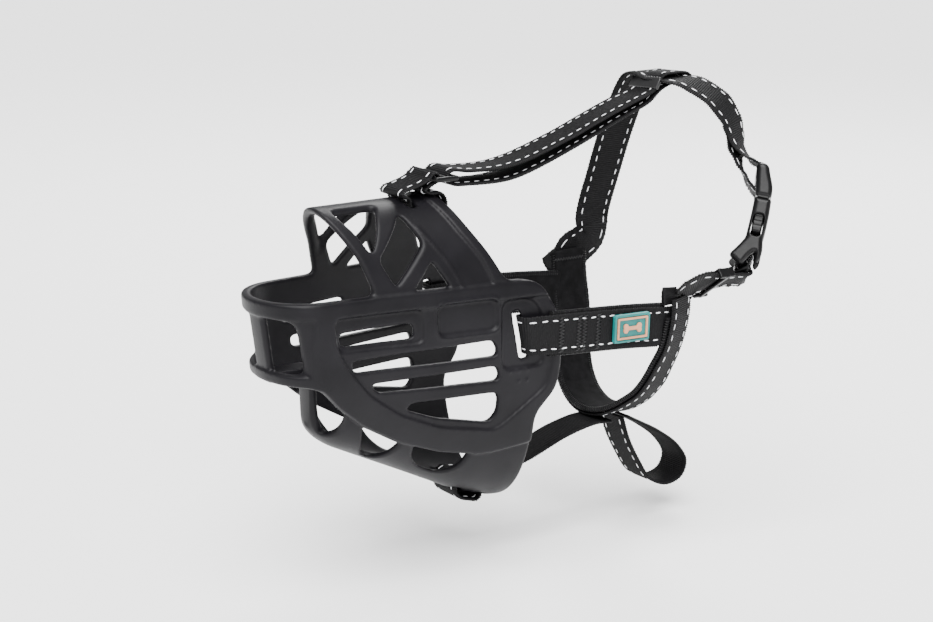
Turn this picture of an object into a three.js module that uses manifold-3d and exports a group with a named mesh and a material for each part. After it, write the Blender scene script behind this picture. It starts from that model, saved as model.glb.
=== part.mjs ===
// Basket muzzle with its harness, in the shape it has when worn.
// Millimetres. The nose points to -Y, up is +Z and the dog's left is +X.
// The origin is the middle of the opening that the snout goes into.
import * as THREE from "three";
import { mergeVertices } from "three/addons/utils/BufferGeometryUtils.js";
import Module from "manifold-3d";

const wasm = await Module();
wasm.setup();

// Basket
const RIM_Z = 39; // top of the belt round the nose
const WIDEST_Z = 8; // height at which the basket is widest
const TOP_Z = 76.3; // top of the hoops over the nose bridge
const WALL = 3.6;
const RAISED = 1.2; // height of the borders above the wall
const SUNK = 1.2; // depth of the panels and of the strap recess
const NOSE_START_Y = -96; // in front of this the belt rounds off to the nose
const NOSE_LENGTH = 24.5;
const NOSE_LEAN = 0.14; // how far the nose wall leans back, per millimetre down from the rim
const CHIN_START_Y = -72; // in front of this the chin guard rounds off
const CHIN_LENGTH = 22.5;
const SPINE_HALF = 6; // half the width of the middle spine
// Half width at the widest height, along the basket.
const PLAN = [
  [-127, 26.5],
  [-97, 28.5],
  [-72, 31],
  [-43, 36],
  [-8, 40.5],
  [22, 43.8],
];
// Height of the underside, along the basket.
const UNDERSIDE = [
  [-97, -20],
  [-94, -26],
  [-90, -31],
  [-84, -35.5],
  [-43, -55.5],
  [-18, -68],
  [0, -74.5],
  [22, -76],
];

// Harness
const WEB_WIDTH = 20;
const WEB = 1.5; // webbing thickness
const LINING_WIDTH = 22.5;
const LINING = 2.6;

// Buckle
const BUCKLE_WIDTH = 27;
const BUCKLE_THICK = 8;
const CORE_LENGTH = 20;
const MALE_LENGTH = 17;
const TAIL_LENGTH = 14;

const webbing = new THREE.MeshStandardMaterial({ color: 0x17171a, roughness: 0.85, metalness: 0 });
const neoprene = new THREE.MeshStandardMaterial({ color: 0x0e0e10, roughness: 0.95, metalness: 0 });
const rubber = new THREE.MeshStandardMaterial({ color: 0x36353a, roughness: 0.55, metalness: 0 });
const plastic = new THREE.MeshStandardMaterial({ color: 0x1b1b1d, roughness: 0.35, metalness: 0 });
const teal = new THREE.MeshStandardMaterial({ color: 0x1fd0c8, roughness: 0.5, metalness: 0 });
const cream = new THREE.MeshStandardMaterial({ color: 0xf2cfae, roughness: 0.5, metalness: 0 });

// Value of a table of [position, value] pairs at a position.
function lookUp(table, at) {
  const last = table.length - 1;
  if (at <= table[0][0]) return table[0][1];
  if (at >= table[last][0]) return table[last][1];
  const i = table.findIndex((row) => row[0] > at);
  const [x0, v0] = table[i - 1];
  const [x1, v1] = table[i];
  return v0 + ((at - x0) / (x1 - x0)) * (v1 - v0);
}

// A closed solid between rings of points. Every ring has the same number of points.
function loft(rings, closed = false) {
  const count = rings[0].length;
  const positions = rings.flat().flatMap((p) => [p.x, p.y, p.z]);
  const index = [];
  const bands = closed ? rings.length : rings.length - 1;
  for (let i = 0; i < bands; i++) {
    const here = i * count;
    const next = ((i + 1) % rings.length) * count;
    for (let j = 0; j < count; j++) {
      const k = (j + 1) % count;
      index.push(here + j, here + k, next + k, here + j, next + k, next + j);
    }
  }
  if (!closed) {
    const end = (rings.length - 1) * count;
    for (let j = 1; j < count - 1; j++) {
      index.push(0, j + 1, j);
      index.push(end, end + j, end + j + 1);
    }
  }
  const geometry = new THREE.BufferGeometry();
  geometry.setAttribute("position", new THREE.Float32BufferAttribute(positions, 3));
  geometry.setIndex(index);
  return geometry;
}

function toSolid(geometry) {
  const bare = geometry.clone();
  bare.deleteAttribute("normal");
  bare.deleteAttribute("uv");
  const merged = mergeVertices(bare, 1e-4);
  return new wasm.Manifold(
    new wasm.Mesh({
      numProp: 3,
      vertProperties: merged.attributes.position.array,
      triVerts: new Uint32Array(merged.index.array),
    }),
  );
}

function toGeometry(solid) {
  const mesh = solid.getMesh();
  const geometry = new THREE.BufferGeometry();
  geometry.setAttribute("position", new THREE.Float32BufferAttribute(mesh.vertProperties, 3));
  geometry.setIndex([...mesh.triVerts]);
  return geometry;
}

function joined(solids) {
  return solids.reduce((all, one) => all.add(one));
}

// A prism from an outline, pushed out by depth. Each outline corner may have a rounding radius.
function prism(outline, depth, radius = 0) {
  const shape = new THREE.Shape();
  const points = outline.map(([x, y]) => new THREE.Vector2(x, y));
  points.forEach((corner, i) => {
    const before = points[(i + points.length - 1) % points.length];
    const after = points[(i + 1) % points.length];
    const reachIn = Math.min(radius, corner.distanceTo(before) * 0.45);
    const reachOut = Math.min(radius, corner.distanceTo(after) * 0.45);
    const start = corner.clone().lerp(before, reachIn / corner.distanceTo(before));
    const end = corner.clone().lerp(after, reachOut / corner.distanceTo(after));
    if (i === 0) shape.moveTo(start.x, start.y);
    else shape.lineTo(start.x, start.y);
    if (radius > 0) shape.quadraticCurveTo(corner.x, corner.y, end.x, end.y);
  });
  return new THREE.ExtrudeGeometry(shape, { depth, bevelEnabled: false, curveSegments: 3 });
}

// An outline drawn in side view, as [Y, Z] pairs, cut through from X = from to X = to.
function sideCut(outline, from, to, radius = 0) {
  const geometry = prism(outline, to - from, radius);
  const turn = new THREE.Matrix4().makeBasis(
    new THREE.Vector3(0, 1, 0),
    new THREE.Vector3(0, 0, 1),
    new THREE.Vector3(1, 0, 0),
  );
  turn.setPosition(from, 0, 0);
  return toSolid(geometry.applyMatrix4(turn));
}

// The same outline on the left and on the right side.
function bothSides(outline, from, to, radius = 0) {
  return sideCut(outline, from, to, radius).add(sideCut(outline, -to, -from, radius));
}

// An outline drawn from above, as [X, Y] pairs, cut from Z = from to Z = to.
function planCut(outline, from, to, radius = 0) {
  return toSolid(prism(outline, to - from, radius).translate(0, 0, from));
}

function mirrored(outline) {
  return outline.map(([x, y]) => [-x, y]).reverse();
}

// Rounding of the half width towards a blunt front end.
function bluntness(y, start, length) {
  const t = Math.min(Math.max((start - y) / length, 0), 1);
  return Math.sqrt(Math.max(1 - t ** 2.2, 0));
}

// One ring of the basket's tube at y, moved out by offset.
function tubeRing(y, start, length, offset, slope) {
  const steps = 8;
  const half = lookUp(PLAN, y) * bluntness(y, start, length);
  const width = Math.max(half + offset * bluntness(y, start, length), 0.05);
  const top = TOP_Z - WIDEST_Z + offset;
  const low = WIDEST_Z - lookUp(UNDERSIDE, y) + offset;
  const ring = [];
  for (let side = 0; side < 4; side++) {
    const upper = side < 2;
    for (let i = 0; i < steps; i++) {
      const angle = ((side % 2 ? steps - i : i) / steps) * (Math.PI / 2);
      const rise = Math.sin(angle) ** (2 / 2.6);
      const reach = width * Math.cos(angle) ** (upper ? 1 : 2 / 2.2);
      const x = side === 0 || side === 3 ? reach : -reach;
      const z = WIDEST_Z + (upper ? rise * top : -rise * low);
      const lean = slope * (RIM_Z - z) * Math.min(Math.max((start - y) / length, 0), 1);
      ring.push(new THREE.Vector3(x, y + lean, z));
    }
  }
  return ring;
}

// The basket's tube with its blunt front, moved out by offset. Its front leans back by slope.
function tube(start, length, offset, slope) {
  const front = start - length - offset;
  const grown = length + offset;
  const nose = [0, 0.015, 0.06, 0.15, 0.3, 0.5, 0.75];
  const stations = nose.map((part) => front + part * grown);
  const rest = [start, -60, -43, -25, -8, 22].filter((y) => y >= start);
  const rings = [...stations, ...rest].map((y) => tubeRing(y, start, grown, offset, slope));
  return toSolid(loft(rings.map((ring) => ring.reverse())));
}

// Outline of the shield on each side, in side view.
const SHIELD_EDGE = [
  [-106, 0.5],
  [-100, -1.5],
  [-91.5, -11],
  [-79, -21.5],
  [-60, -32.5],
  [-39, -40],
  [-22, -43],
];
const SHIELD_INSIDE = [
  [-94.5, 31],
  [-93, 17],
  [-87.5, 6.5],
  [-77.5, -6],
  [-62, -17.5],
  [-42, -26],
  [-14, -31],
  [11, -12.5],
  [14.5, 0],
  [14.5, 31],
];
const REAR_EDGE = [
  [6.5, -80],
  [6.5, -26],
  [17, -14],
  [19, -1],
  [19, 14],
  [15, 28],
  [9, 37],
  [0, 39.5],
  [-8.5, 39.5],
  [-14.5, 52],
  [-22, 65],
  [-28, 80],
  [-28, 95],
  [60, 95],
  [60, -80],
];

// Windows and slots in each side wall, in side view.
const SIDE_SLOTS = [
  [[-91, 18], [-56, 18], [-55, 21.5], [-56.5, 25], [-91.5, 24]],
  [[-85, 5.3], [-14.5, 5], [-14, 8.5], [-16.5, 12.8], [-86.5, 10.8]],
  [[-73, -5.5], [-13.5, -6.8], [-13, -3], [-15, 0.3], [-77, -1]],
  [[-59, -15.5], [-44, -21.3], [-17, -27], [-13, -22], [-13, -14.5], [-15, -12.5], [-57, -12.5]],
];
const STRAP_SLOT = [[-2.2, 1.8], [2.6, 2.2], [-1.4, 25], [-6, 25]];
const STRAP_RECESS = [[-12, -2], [10, -2], [9, 24], [4, 30.5], [-9, 30.5], [-12, 27]];
const SLOT_PANEL = [[-93, 16], [-51, 15.5], [-51, 31], [-94, 31]];
const BLANK_PANEL = [[-44, 17.5], [-14, 17.5], [-14, 32], [-44, 32]];
const NOSE_WINDOW = [
  [-106, 6],
  [-126, 6],
  [-126, 31],
  [-112, 31],
  [-109, 28],
];
const CAGE_DIAMOND = [[-51.5, 71.5], [-45.5, 59], [-62.5, 41.5], [-68.5, 54]];
const CAGE_TRIANGLE = [[-43.5, 51.5], [-54, 39.5], [-36.5, 39.5]];
const CAGE_FRONT = [[6, -83], [13, -80], [23.5, -71.5], [19, -66.5], [8, -60.5], [6, -62]];
const NOSE_OPENING = [[-130, RIM_Z], [-73, RIM_Z], [-78, 55], [-92, 80], [-130, 80]];
const CHIN_HOLES = [
  [[-99, -8], [-96, -20], [-91.5, -27], [-87.5, -27], [-85, -21], [-84, 5], [-99, 5]],
  [[-77.5, 0], [-78, -24], [-73, -37.5], [-66, -42.5], [-61, -38.5], [-57.5, -30], [-57.5, 0]],
  [[-51.5, -20], [-51.5, -40], [-45, -48], [-34, -53], [-27, -50], [-23.5, -41], [-23.5, -20]],
];

function basket() {
  const inner = tube(NOSE_START_Y, NOSE_LENGTH, -WALL, NOSE_LEAN);
  const outer = tube(NOSE_START_Y, NOSE_LENGTH, 0, NOSE_LEAN);
  const raised = tube(NOSE_START_Y, NOSE_LENGTH, RAISED, NOSE_LEAN);
  const sunk = tube(NOSE_START_Y, NOSE_LENGTH, -SUNK, NOSE_LEAN);

  // Side walls, belt and hoops: everything above the shields' lower edge.
  const below = [[-130, 0.5], ...SHIELD_EDGE, [-22, -90], [-130, -90]];
  let upper = outer.subtract(inner).subtract(sideCut(below, -60, 60));

  // Raised borders: round the shields, on the nose belt and on the rear ring.
  const shield = [[-103, RIM_Z], ...SHIELD_EDGE, [-14, -43], [6.5, -40], [30, -20], [30, RIM_Z]];
  const belts = bothSides([[-130, 31.5], [-95, 31.5], [-95, RIM_Z], [-130, RIM_Z]], 0, 60)
    .add(bothSides([[-130, 0.5], [-98, 0.5], [-98, 6], [-130, 6]], 0, 60));
  const ringLip = sideCut([[-15, RIM_Z], [-19, 50], [-27, 63], [-35, 80], [0, 80], [0, RIM_Z]], -60, 60);
  const border = bothSides(shield, 5, 60)
    .subtract(bothSides(SHIELD_INSIDE, 4, 61, 3))
    .add(belts)
    .add(ringLip);
  upper = upper.add(raised.intersect(border).subtract(inner));

  // Chin guard: a blunt tube below, with the ribs left between its holes.
  const chinInner = tube(CHIN_START_Y, CHIN_LENGTH, -WALL, 0);
  const chinOuter = tube(CHIN_START_Y, CHIN_LENGTH, 0, 0);
  const above = [[-130, 0], [-97, 0], [-84, -8], [-60, -24], [-39, -32], [-20, -36], [40, -36], [40, 90], [-130, 90]];
  let chin = chinOuter.subtract(chinInner).subtract(sideCut(above, -60, 60));
  for (const hole of CHIN_HOLES) {
    chin = chin.subtract(bothSides(hole, SPINE_HALF, 60, 4));
  }
  // Floor bar from the nose strut back to the chin guard, in the middle.
  const floorBar = toSolid(new THREE.BoxGeometry(2 * SPINE_HALF, 26, WALL).translate(0, -106, 2.3));
  const rearCut = sideCut(REAR_EDGE, -60, 60);
  let body = upper.add(chin).add(floorBar.intersect(outer));

  for (const slot of SIDE_SLOTS) {
    body = body.subtract(bothSides(slot, 10, 60, 2));
  }
  body = body.subtract(bothSides(STRAP_SLOT, 20, 60, 1.5));
  const panels = joined([
    bothSides(SLOT_PANEL, 10, 60, 2),
    bothSides(BLANK_PANEL, 10, 60, 2),
    bothSides(STRAP_RECESS, 10, 60, 2),
  ]);
  body = body.subtract(panels.subtract(sunk));
  const noseWindow = bothSides(NOSE_WINDOW, SPINE_HALF, 60, 3);
  body = body.subtract(noseWindow);

  // Openings between the hoops.
  body = body.subtract(sideCut(NOSE_OPENING, -60, 60, 2));
  body = body.subtract(bothSides(CAGE_DIAMOND, 8, 60, 2));
  body = body.subtract(bothSides(CAGE_TRIANGLE, 8, 60, 1.5));
  body = body.subtract(planCut(CAGE_FRONT, 50, 90, 2));
  body = body.subtract(planCut(mirrored(CAGE_FRONT), 50, 90, 2));

  // Slots for the webbing, at the top of the ring and under the chin.
  const half = 11.5;
  const across = (front, rear, low, high) =>
    planCut([[-half, front], [half, front], [half, rear], [-half, rear]], low, high, 1);
  body = body.subtract(across(-44, -39.5, 60, 90));
  body = body.subtract(across(-19.5, -15, -90, -50));
  body = body.subtract(across(-5.5, -1, -90, -50));
  return toGeometry(body.subtract(rearCut));
}

// A strip along a route of [x, y, z, ax, ay, az] points. The last three say which way its width
// points. It is closed into a band when closed is true.
function strip(route, width, thick, samples, closed = false) {
  const points = route.map(([x, y, z]) => new THREE.Vector3(x, y, z));
  const curve = new THREE.CatmullRomCurve3(points, closed, "centripetal");
  const spans = closed ? route.length : route.length - 1;
  const count = closed ? samples : samples + 1;
  const rings = [];
  for (let i = 0; i < count; i++) {
    const t = i / samples;
    const centre = curve.getPoint(t);
    const along = curve.getTangent(t);
    const at = Math.min(t * spans, spans - 1e-6);
    const from = route[Math.floor(at)].slice(3);
    const to = route[(Math.floor(at) + 1) % route.length].slice(3);
    const width3 = new THREE.Vector3(...from).lerp(new THREE.Vector3(...to), at % 1);
    width3.addScaledVector(along, -width3.dot(along)).normalize();
    const up = new THREE.Vector3().crossVectors(along, width3).normalize();
    const corner = (w, u) =>
      centre.clone().addScaledVector(width3, (w * width) / 2).addScaledVector(up, (u * thick) / 2);
    rings.push([corner(-1, -1), corner(1, -1), corner(1, 1), corner(-1, 1)]);
  }
  return loft(rings, closed);
}

// The same route on the other side of the dog's head.
function otherSide(route) {
  return route.map(([x, y, z, ax, ay, az]) => [-x, y, z, -ax, ay, az]);
}

// The same route moved sideways along its own face, by distance.
function layerUnder(route, distance) {
  const points = route.map(([x, y, z]) => new THREE.Vector3(x, y, z));
  return route.map(([, , , ax, ay, az], i) => {
    const before = points[Math.max(i - 1, 0)];
    const after = points[Math.min(i + 1, points.length - 1)];
    const along = after.clone().sub(before).normalize();
    const up = new THREE.Vector3().crossVectors(along, new THREE.Vector3(ax, ay, az)).normalize();
    const moved = points[i].clone().addScaledVector(up, distance);
    return [moved.x, moved.y, moved.z, ax, ay, az];
  });
}

// Buckle frame: x is its width, y points inwards, z points up along it. The origin is the seam.
const buckleUp = new THREE.Vector3(-0.16, 0.376, 0.913).normalize();
const buckleWide = new THREE.Vector3(-0.791, 0.504, -0.346);
buckleWide.addScaledVector(buckleUp, -buckleWide.dot(buckleUp)).normalize();
const buckleIn = new THREE.Vector3().crossVectors(buckleUp, buckleWide);
const SEAM = new THREE.Vector3(40.5, 144, 60);
const MALE_TILT = THREE.MathUtils.degToRad(20);
const TAIL_TILT = THREE.MathUtils.degToRad(15);
const across = buckleWide.toArray();

function atBuckle(x, y, z) {
  const p = SEAM.clone().addScaledVector(buckleWide, x);
  return p.addScaledVector(buckleIn, y).addScaledVector(buckleUp, z);
}

// A route point beside the male base: out is its distance inwards, along its distance from the seam.
function byMale(inward, along) {
  const y = Math.sin(MALE_TILT) * along + Math.cos(MALE_TILT) * inward;
  const z = Math.cos(MALE_TILT) * along - Math.sin(MALE_TILT) * inward;
  return [...atBuckle(0, y, z).toArray(), ...across];
}

// A route point beside the female tail, counted from where the tail starts.
function byTail(inward, along) {
  const y = Math.sin(TAIL_TILT) * along + Math.cos(TAIL_TILT) * inward;
  const z = -CORE_LENGTH - Math.cos(TAIL_TILT) * along + Math.sin(TAIL_TILT) * inward;
  return [...atBuckle(0, y, z).toArray(), ...across.map((v) => -v)];
}

// Routes of the webbing: [x, y, z] of the middle, then the direction of its width.
const SLANT = [0, -0.2, 0.98];
const CHEEK = [
  [41.0, 33, 12, 0, 0, 1],
  [38.8, 22, 12, 0, 0, 1],
  [37.0, 12, 12.5, 0, -0.1, 1],
  [36.0, 4, 13, ...SLANT],
  [36.8, -0.6, 13, ...SLANT],
  [40.5, -1.7, 13, ...SLANT],
  [43.6, 0.2, 13, ...SLANT],
  [44.6, 5, 13, ...SLANT],
  [45.6, 14, 12.5, 0, -0.1, 1],
  [46.0, 24, 12, 0, 0, 1],
  [45.2, 34, 11.5, 0, 0, 1],
  [45.0, 58, 10, 0, 0, 1],
  [44.6, 77, 8.8, 0, 0, 1],
];
const CHEEK_LINING = [
  [42.4, 36, 11.2, 0, 0, 1],
  [42.4, 58, 10, 0, 0, 1],
  [42.1, 74.5, 9, 0, 0, 1],
];
const THROAT = [
  [45, 90, 16.5, -0.42, 0.9, 0],
  [44.8, 89.8, 10, -0.42, 0.9, 0],
  [43, 88, -3, -0.42, 0.9, 0],
  [38, 85.5, -16, -0.36, 0.93, 0],
  [30, 84, -29, -0.28, 0.95, 0],
  [19, 81.5, -39, -0.12, 0.99, 0],
  [8, 79.5, -45, 0, 1, 0],
  [-6, 78.5, -47, 0, 1, 0],
  [-20, 80, -43.5, 0.06, 1, 0],
  [-31, 82.5, -35, 0.1, 1, 0],
  [-38, 85, -21, 0.12, 1, 0],
  [-42, 87.5, -2, 0.14, 1, 0],
  [-44.6, 90, 15, 0.16, 1, 0],
  [-45.4, 91.5, 27, 0.18, 1, 0],
];
const CHIN = [
  [0, 76, -49.3, 1, 0, 0],
  [0, 66, -48.8, 1, 0, 0],
  [0, 50, -51.8, 1, 0, 0],
  [0, 24, -60.5, 1, 0, 0],
  [0, 8, -63.4, 1, 0, 0],
  [0, -8, -62, 1, 0, 0],
  [0, -14.5, -61.2, 1, 0, 0],
  [0, -17.2, -63.5, 1, 0, 0],
  [0, -17.2, -69, 1, 0, 0],
  [0, -14.5, -72.2, 1, 0, 0],
  [0, -10, -73.8, 1, 0, 0],
  [0, -5.2, -74.8, 1, 0, 0],
  [0, -3.2, -73, 1, 0, 0],
  [0, -2.9, -69.6, 1, 0, 0],
  [0, -1.2, -66.2, 1, 0, 0],
  [0, 5, -66, 1, 0, 0],
  [0, 12, -67.2, 1, 0, 0],
];
const COLLAR = [
  [0, 83.8, -50.3, 1, 0, 0],
  [0, 87.5, -60, 1, 0, 0],
  [0, 94, -72.5, 1, 0, 0],
  [0, 102, -84, 1, 0, 0],
  [0, 113, -89, 1, 0, 0],
  [0, 122.5, -86.5, 1, 0, 0],
  [0, 125.5, -79, 1, 0, 0],
  [0, 119.5, -69.5, 1, 0, 0],
  [0, 108, -60.5, 1, 0, 0],
  [0, 95, -53, 1, 0, 0],
  [0, 87.2, -50.3, 1, 0, 0],
];
const HEAD = [
  [-47.9, 94, 17, 0.18, 1, 0],
  [-47.2, 98, 31, 0.16, 1, 0],
  [-44.2, 104.5, 50, 0.1, 1, -0.1],
  [-41, 110.5, 70, 0.1, 1, -0.2],
  [-37, 114.5, 90, 0.1, 1, -0.2],
  [-30.5, 115.5, 108, 0.1, 1, -0.2],
  [-18, 115.5, 116.7, 0, 1, -0.1],
  [-3, 117.5, 118.3, 0, 1, 0],
  [11, 122.5, 116.8, -0.1, 1, 0.05],
  [21, 129.5, 110, -0.25, 1, 0.05],
  [29, 136, 97.5, -0.5, 0.86, 0.05],
  byMale(-0.8, 23),
  byMale(-2.9, 16.5),
  byMale(-2.9, 12.2),
  byMale(-0.2, 9.9),
  byMale(2.9, 12.2),
  byMale(3.4, 17),
  byMale(3.3, 23),
  [27.5, 131.5, 95, -0.5, 0.86, 0.05],
];
const SHORT = [
  [45.8, 91.5, 20.6, 0.4, -0.91, 0],
  [46.4, 93, 24, 0.6, -0.7, 0.3],
  [46.4, 98, 25.2, 0.88, 0, 0.47],
  [46.2, 105, 25, 0.88, 0, 0.47],
  [46, 112, 24.8, 0.88, 0, 0.47],
  [45.8, 119, 24.6, 0.88, 0, 0.47],
  byTail(-4.2, 18),
  byTail(-3.1, 13),
  byTail(-2.8, 8.7),
  byTail(-0.2, 6.3),
  byTail(2.8, 8.7),
  byTail(3.1, 13.4),
  byTail(0.6, 18.4),
  [44.4, 121, 27.6, 0.88, 0, 0.47],
];
const TOP_LOOP = [
  [0, -34, 68.3, 1, 0, 0],
  [0, -39.3, 69, 1, 0, 0],
  [0, -41.8, 73, 1, 0, 0],
  [0, -42.6, 77.5, 1, 0, 0],
  [0, -44.6, 79.6, 1, 0, 0],
  [0, -45.6, 81.6, 1, 0, 0],
  [0, -43, 83.8, 1, 0, 0],
  [0, -36, 86, 1, 0, 0],
  [0, -28.6, 87.5, 1, 0, 0],
  [0, -26, 84.5, 1, 0, 0],
  [0, -28.6, 81.5, 1, 0, 0],
  [0, -25.4, 79, 1, 0, 0],
  [0, -23.4, 75.5, 1, 0, 0],
  [0, -22.6, 71, 1, 0, 0],
  [0, -26.5, 68.2, 1, 0, 0],
];
const FOREHEAD = [
  [0, -19.4, 81.5, 1, 0, 0],
  [0, -22, 84.5, 1, 0, 0],
  [0, -19.4, 87.5, 1, 0, 0],
  [0, -9, 86.4, 1, 0, 0],
  [0, 14, 87, 1, 0, 0],
  [-2, 49, 97, 1, 0, 0.03],
  [-4, 79, 107.6, 1, 0, 0.06],
  [-7, 100, 119, 1, 0, 0.08],
  [-8, 111, 122, 1, 0, 0.08],
  [-8, 124, 122.2, 1, 0, 0.08],
  [-8, 132.3, 119.6, 1, 0, 0.08],
  [-8, 131, 114.8, 1, 0, 0.08],
  [-8, 121, 112.8, 1, 0, 0.08],
  [-7, 104, 110.2, 1, 0, 0.08],
  [-4, 79, 98.5, 1, 0, 0.06],
  [-2, 49, 89.5, 1, 0, 0.03],
  [0, 14, 80, 1, 0, 0],
  [0, -9, 80.2, 1, 0, 0],
];

// Folded ends of the throat strap, standing up at each junction.
const LEFT_TAB = [
  [45.3, 83, 17.4, 0, 1, 0],
  [45.3, 82.8, 23, 0, 1, -0.1],
  [44.5, 82.8, 25.6, 0, 1, -0.1],
  [43.7, 82.8, 23, 0, 1, -0.1],
  [43.7, 83, 17.4, 0, 1, 0],
];
const RIGHT_TAB = [
  [-45, 79, 23.6, 0, 0.86, -0.5],
  [-45, 76.5, 29, 0, 0.86, -0.5],
  [-44.2, 75.5, 31.4, 0, 0.86, -0.5],
  [-43.4, 76.5, 29, 0, 0.86, -0.5],
  [-43.4, 79, 23.6, 0, 0.86, -0.5],
];

// Three bars and two rails. The strap runs between bars that lie above and below it.
function slidingGlide() {
  const rail = (x) => new THREE.BoxGeometry(2, 11, 5.6).translate(x, 0, 0);
  const bar = (y, z) => new THREE.BoxGeometry(26, 2.2, 1.7).translate(0, y, z);
  return toGeometry(
    joined([rail(-12), rail(12), bar(-4.4, 1.95), bar(4.4, 1.95), bar(0, -1.95)].map(toSolid)),
  );
}

// A flat frame with a middle bar, for a strap at each end.
function flatGlide() {
  const plate = toSolid(prism([[-13, -6.4], [13, -6.4], [13, 6.4], [-13, 6.4]], 2.4, 2));
  const gap = (y) => block(0, y, 1.2, 21.6, 3.4, 4);
  return toGeometry(plate.subtract(gap(2.7)).subtract(gap(-2.7))).translate(0, 0, -1.2);
}

// A side outline of the buckle as [y, z] pairs, with the given width.
function buckleSlab(outline, width) {
  const geometry = prism(outline, width);
  const turn = new THREE.Matrix4().makeBasis(
    new THREE.Vector3(0, 1, 0),
    new THREE.Vector3(0, 0, 1),
    new THREE.Vector3(1, 0, 0),
  );
  turn.setPosition(-width / 2, 0, 0);
  return toSolid(geometry.applyMatrix4(turn));
}

function block(x, y, z, sx, sy, sz) {
  return toSolid(new THREE.BoxGeometry(sx, sy, sz).translate(x, y, z));
}

// A block placed along the tilted male base or, with a negative angle, along the tail.
function tilted(x, along, sx, sy, sz, angle, start) {
  const geometry = new THREE.BoxGeometry(sx, sy, sz).translate(x, 0, along);
  return toSolid(geometry.rotateX(angle).translate(0, 0, start));
}

function maleBody() {
  const outline = [[-4, 0.3], [4, 0.3], [4.4, 3], [6.6, MALE_LENGTH], [2.4, MALE_LENGTH + 1.2], [-3, 7]];
  const base = buckleSlab(outline, BUCKLE_WIDTH);
  const slot = tilted(0, 9.6, 22, 20, 5.8, -MALE_TILT, 0);
  const thinOutside = tilted(0, 15, 22, 3, 9, -MALE_TILT, 0).translate([0, -3.1, 0.9]);
  const thinInside = tilted(0, 15, 22, 3, 9, -MALE_TILT, 0).translate([0, 3.2, -0.9]);
  const prong = block(0, 0, -8, 6, 2.6, 17);
  return toGeometry(base.subtract(slot).subtract(thinOutside).subtract(thinInside).add(prong));
}

// One spring arm. Its thick end shows in the side window of the female half.
function arm(side) {
  const outline = [[7.6, -0.4], [10.6, -0.4], [11.2, -8], [11.2, -16.5], [9.4, -18.6], [7, -18.6], [6.6, -9]];
  const shape = outline.map(([x, z]) => [side * x, z]);
  const geometry = prism(side > 0 ? shape : shape.reverse(), 4.6);
  return toGeometry(toSolid(geometry.rotateX(Math.PI / 2).translate(0, 2.3, 0)));
}

function femaleBody() {
  const half = BUCKLE_THICK / 2;
  const core = block(0, 0, -CORE_LENGTH / 2, BUCKLE_WIDTH, BUCKLE_THICK, CORE_LENGTH);
  const tail = tilted(0, -TAIL_LENGTH / 2 + 1, BUCKLE_WIDTH - 1, 6.4, TAIL_LENGTH + 2, TAIL_TILT, -CORE_LENGTH);
  const slot = tilted(0, -6.2, 22, 20, 5.6, TAIL_TILT, -CORE_LENGTH);
  const thinOutside = tilted(0, -11.5, 22, 3, 9, TAIL_TILT, -CORE_LENGTH).translate([0, -3.3, -0.8]);
  const thinInside = tilted(0, -11.5, 22, 3, 9, TAIL_TILT, -CORE_LENGTH).translate([0, 3.3, 0.8]);
  const cavity = block(0, 0, -9.4, 23.4, 2 * half - 2.6, 21);
  const windows = block(0, 0, -13.8, BUCKLE_WIDTH + 4, 2 * half - 2.8, 10.6);
  return toGeometry(
    core.add(tail).subtract(slot).subtract(thinOutside).subtract(thinInside).subtract(cavity).subtract(windows),
  );
}

const root = new THREE.Group();

function add(name, geometry, material, parent = root) {
  const mesh = new THREE.Mesh(geometry, material);
  mesh.name = name;
  parent.add(mesh);
  return mesh;
}

// A group whose x, y and z axes point along the given directions.
function placed(position, x, y, z) {
  const group = new THREE.Group();
  group.applyMatrix4(new THREE.Matrix4().makeBasis(x, y, z).setPosition(position));
  root.add(group);
  return group;
}

add("basket", basket(), rubber);
add("left_cheek_strap", strip(CHEEK, WEB_WIDTH, WEB, 40), webbing);
add("right_cheek_strap", strip(otherSide(CHEEK), WEB_WIDTH, WEB, 40), webbing);
add("left_cheek_lining", strip(CHEEK_LINING, LINING_WIDTH, LINING, 6), neoprene);
add("right_cheek_lining", strip(otherSide(CHEEK_LINING), LINING_WIDTH, LINING, 6), neoprene);
add("throat_strap", strip(THROAT, WEB_WIDTH, WEB, 36), webbing);
add("throat_lining", strip(layerUnder(THROAT.slice(1, -1), -2.4), LINING_WIDTH, LINING, 32), neoprene);
add("chin_strap", strip(CHIN, WEB_WIDTH, WEB, 45), webbing);
add("collar_loop", strip(COLLAR, WEB_WIDTH, WEB, 36), webbing);
add("head_strap", strip(HEAD, WEB_WIDTH, WEB, 60), webbing);
add("short_strap", strip(SHORT, WEB_WIDTH, WEB, 48), webbing);
add("top_loop", strip(TOP_LOOP, WEB_WIDTH, WEB, 52, true), webbing);
add("forehead_strap", strip(FOREHEAD, WEB_WIDTH, WEB, 64, true), webbing);

add("left_junction_tab", strip(LEFT_TAB, 8.6, 0.9, 14), webbing);
add("right_junction_tab", strip(RIGHT_TAB, 8.6, 0.9, 14), webbing);

const buckle = placed(SEAM, buckleWide, buckleIn, buckleUp);
add("buckle_male", maleBody(), plastic, buckle);
add("buckle_arm_a", arm(1), plastic, buckle);
add("buckle_arm_b", arm(-1), plastic, buckle);
add("buckle_female", femaleBody(), plastic, buckle);

const foreheadGlide = add("forehead_glide", flatGlide(), plastic);
foreheadGlide.position.set(0, -24, 84.5);

const glideWide = new THREE.Vector3(0.88, 0, 0.47).normalize();
const glideAlong = new THREE.Vector3(-0.2, 7, -0.2).normalize();
const glideUp = new THREE.Vector3().crossVectors(glideWide, glideAlong).normalize();
const shortGlide = placed(new THREE.Vector3(46.1, 108.5, 24.9), glideWide, glideAlong, glideUp);
add("short_glide", slidingGlide(), plastic, shortGlide);

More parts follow.
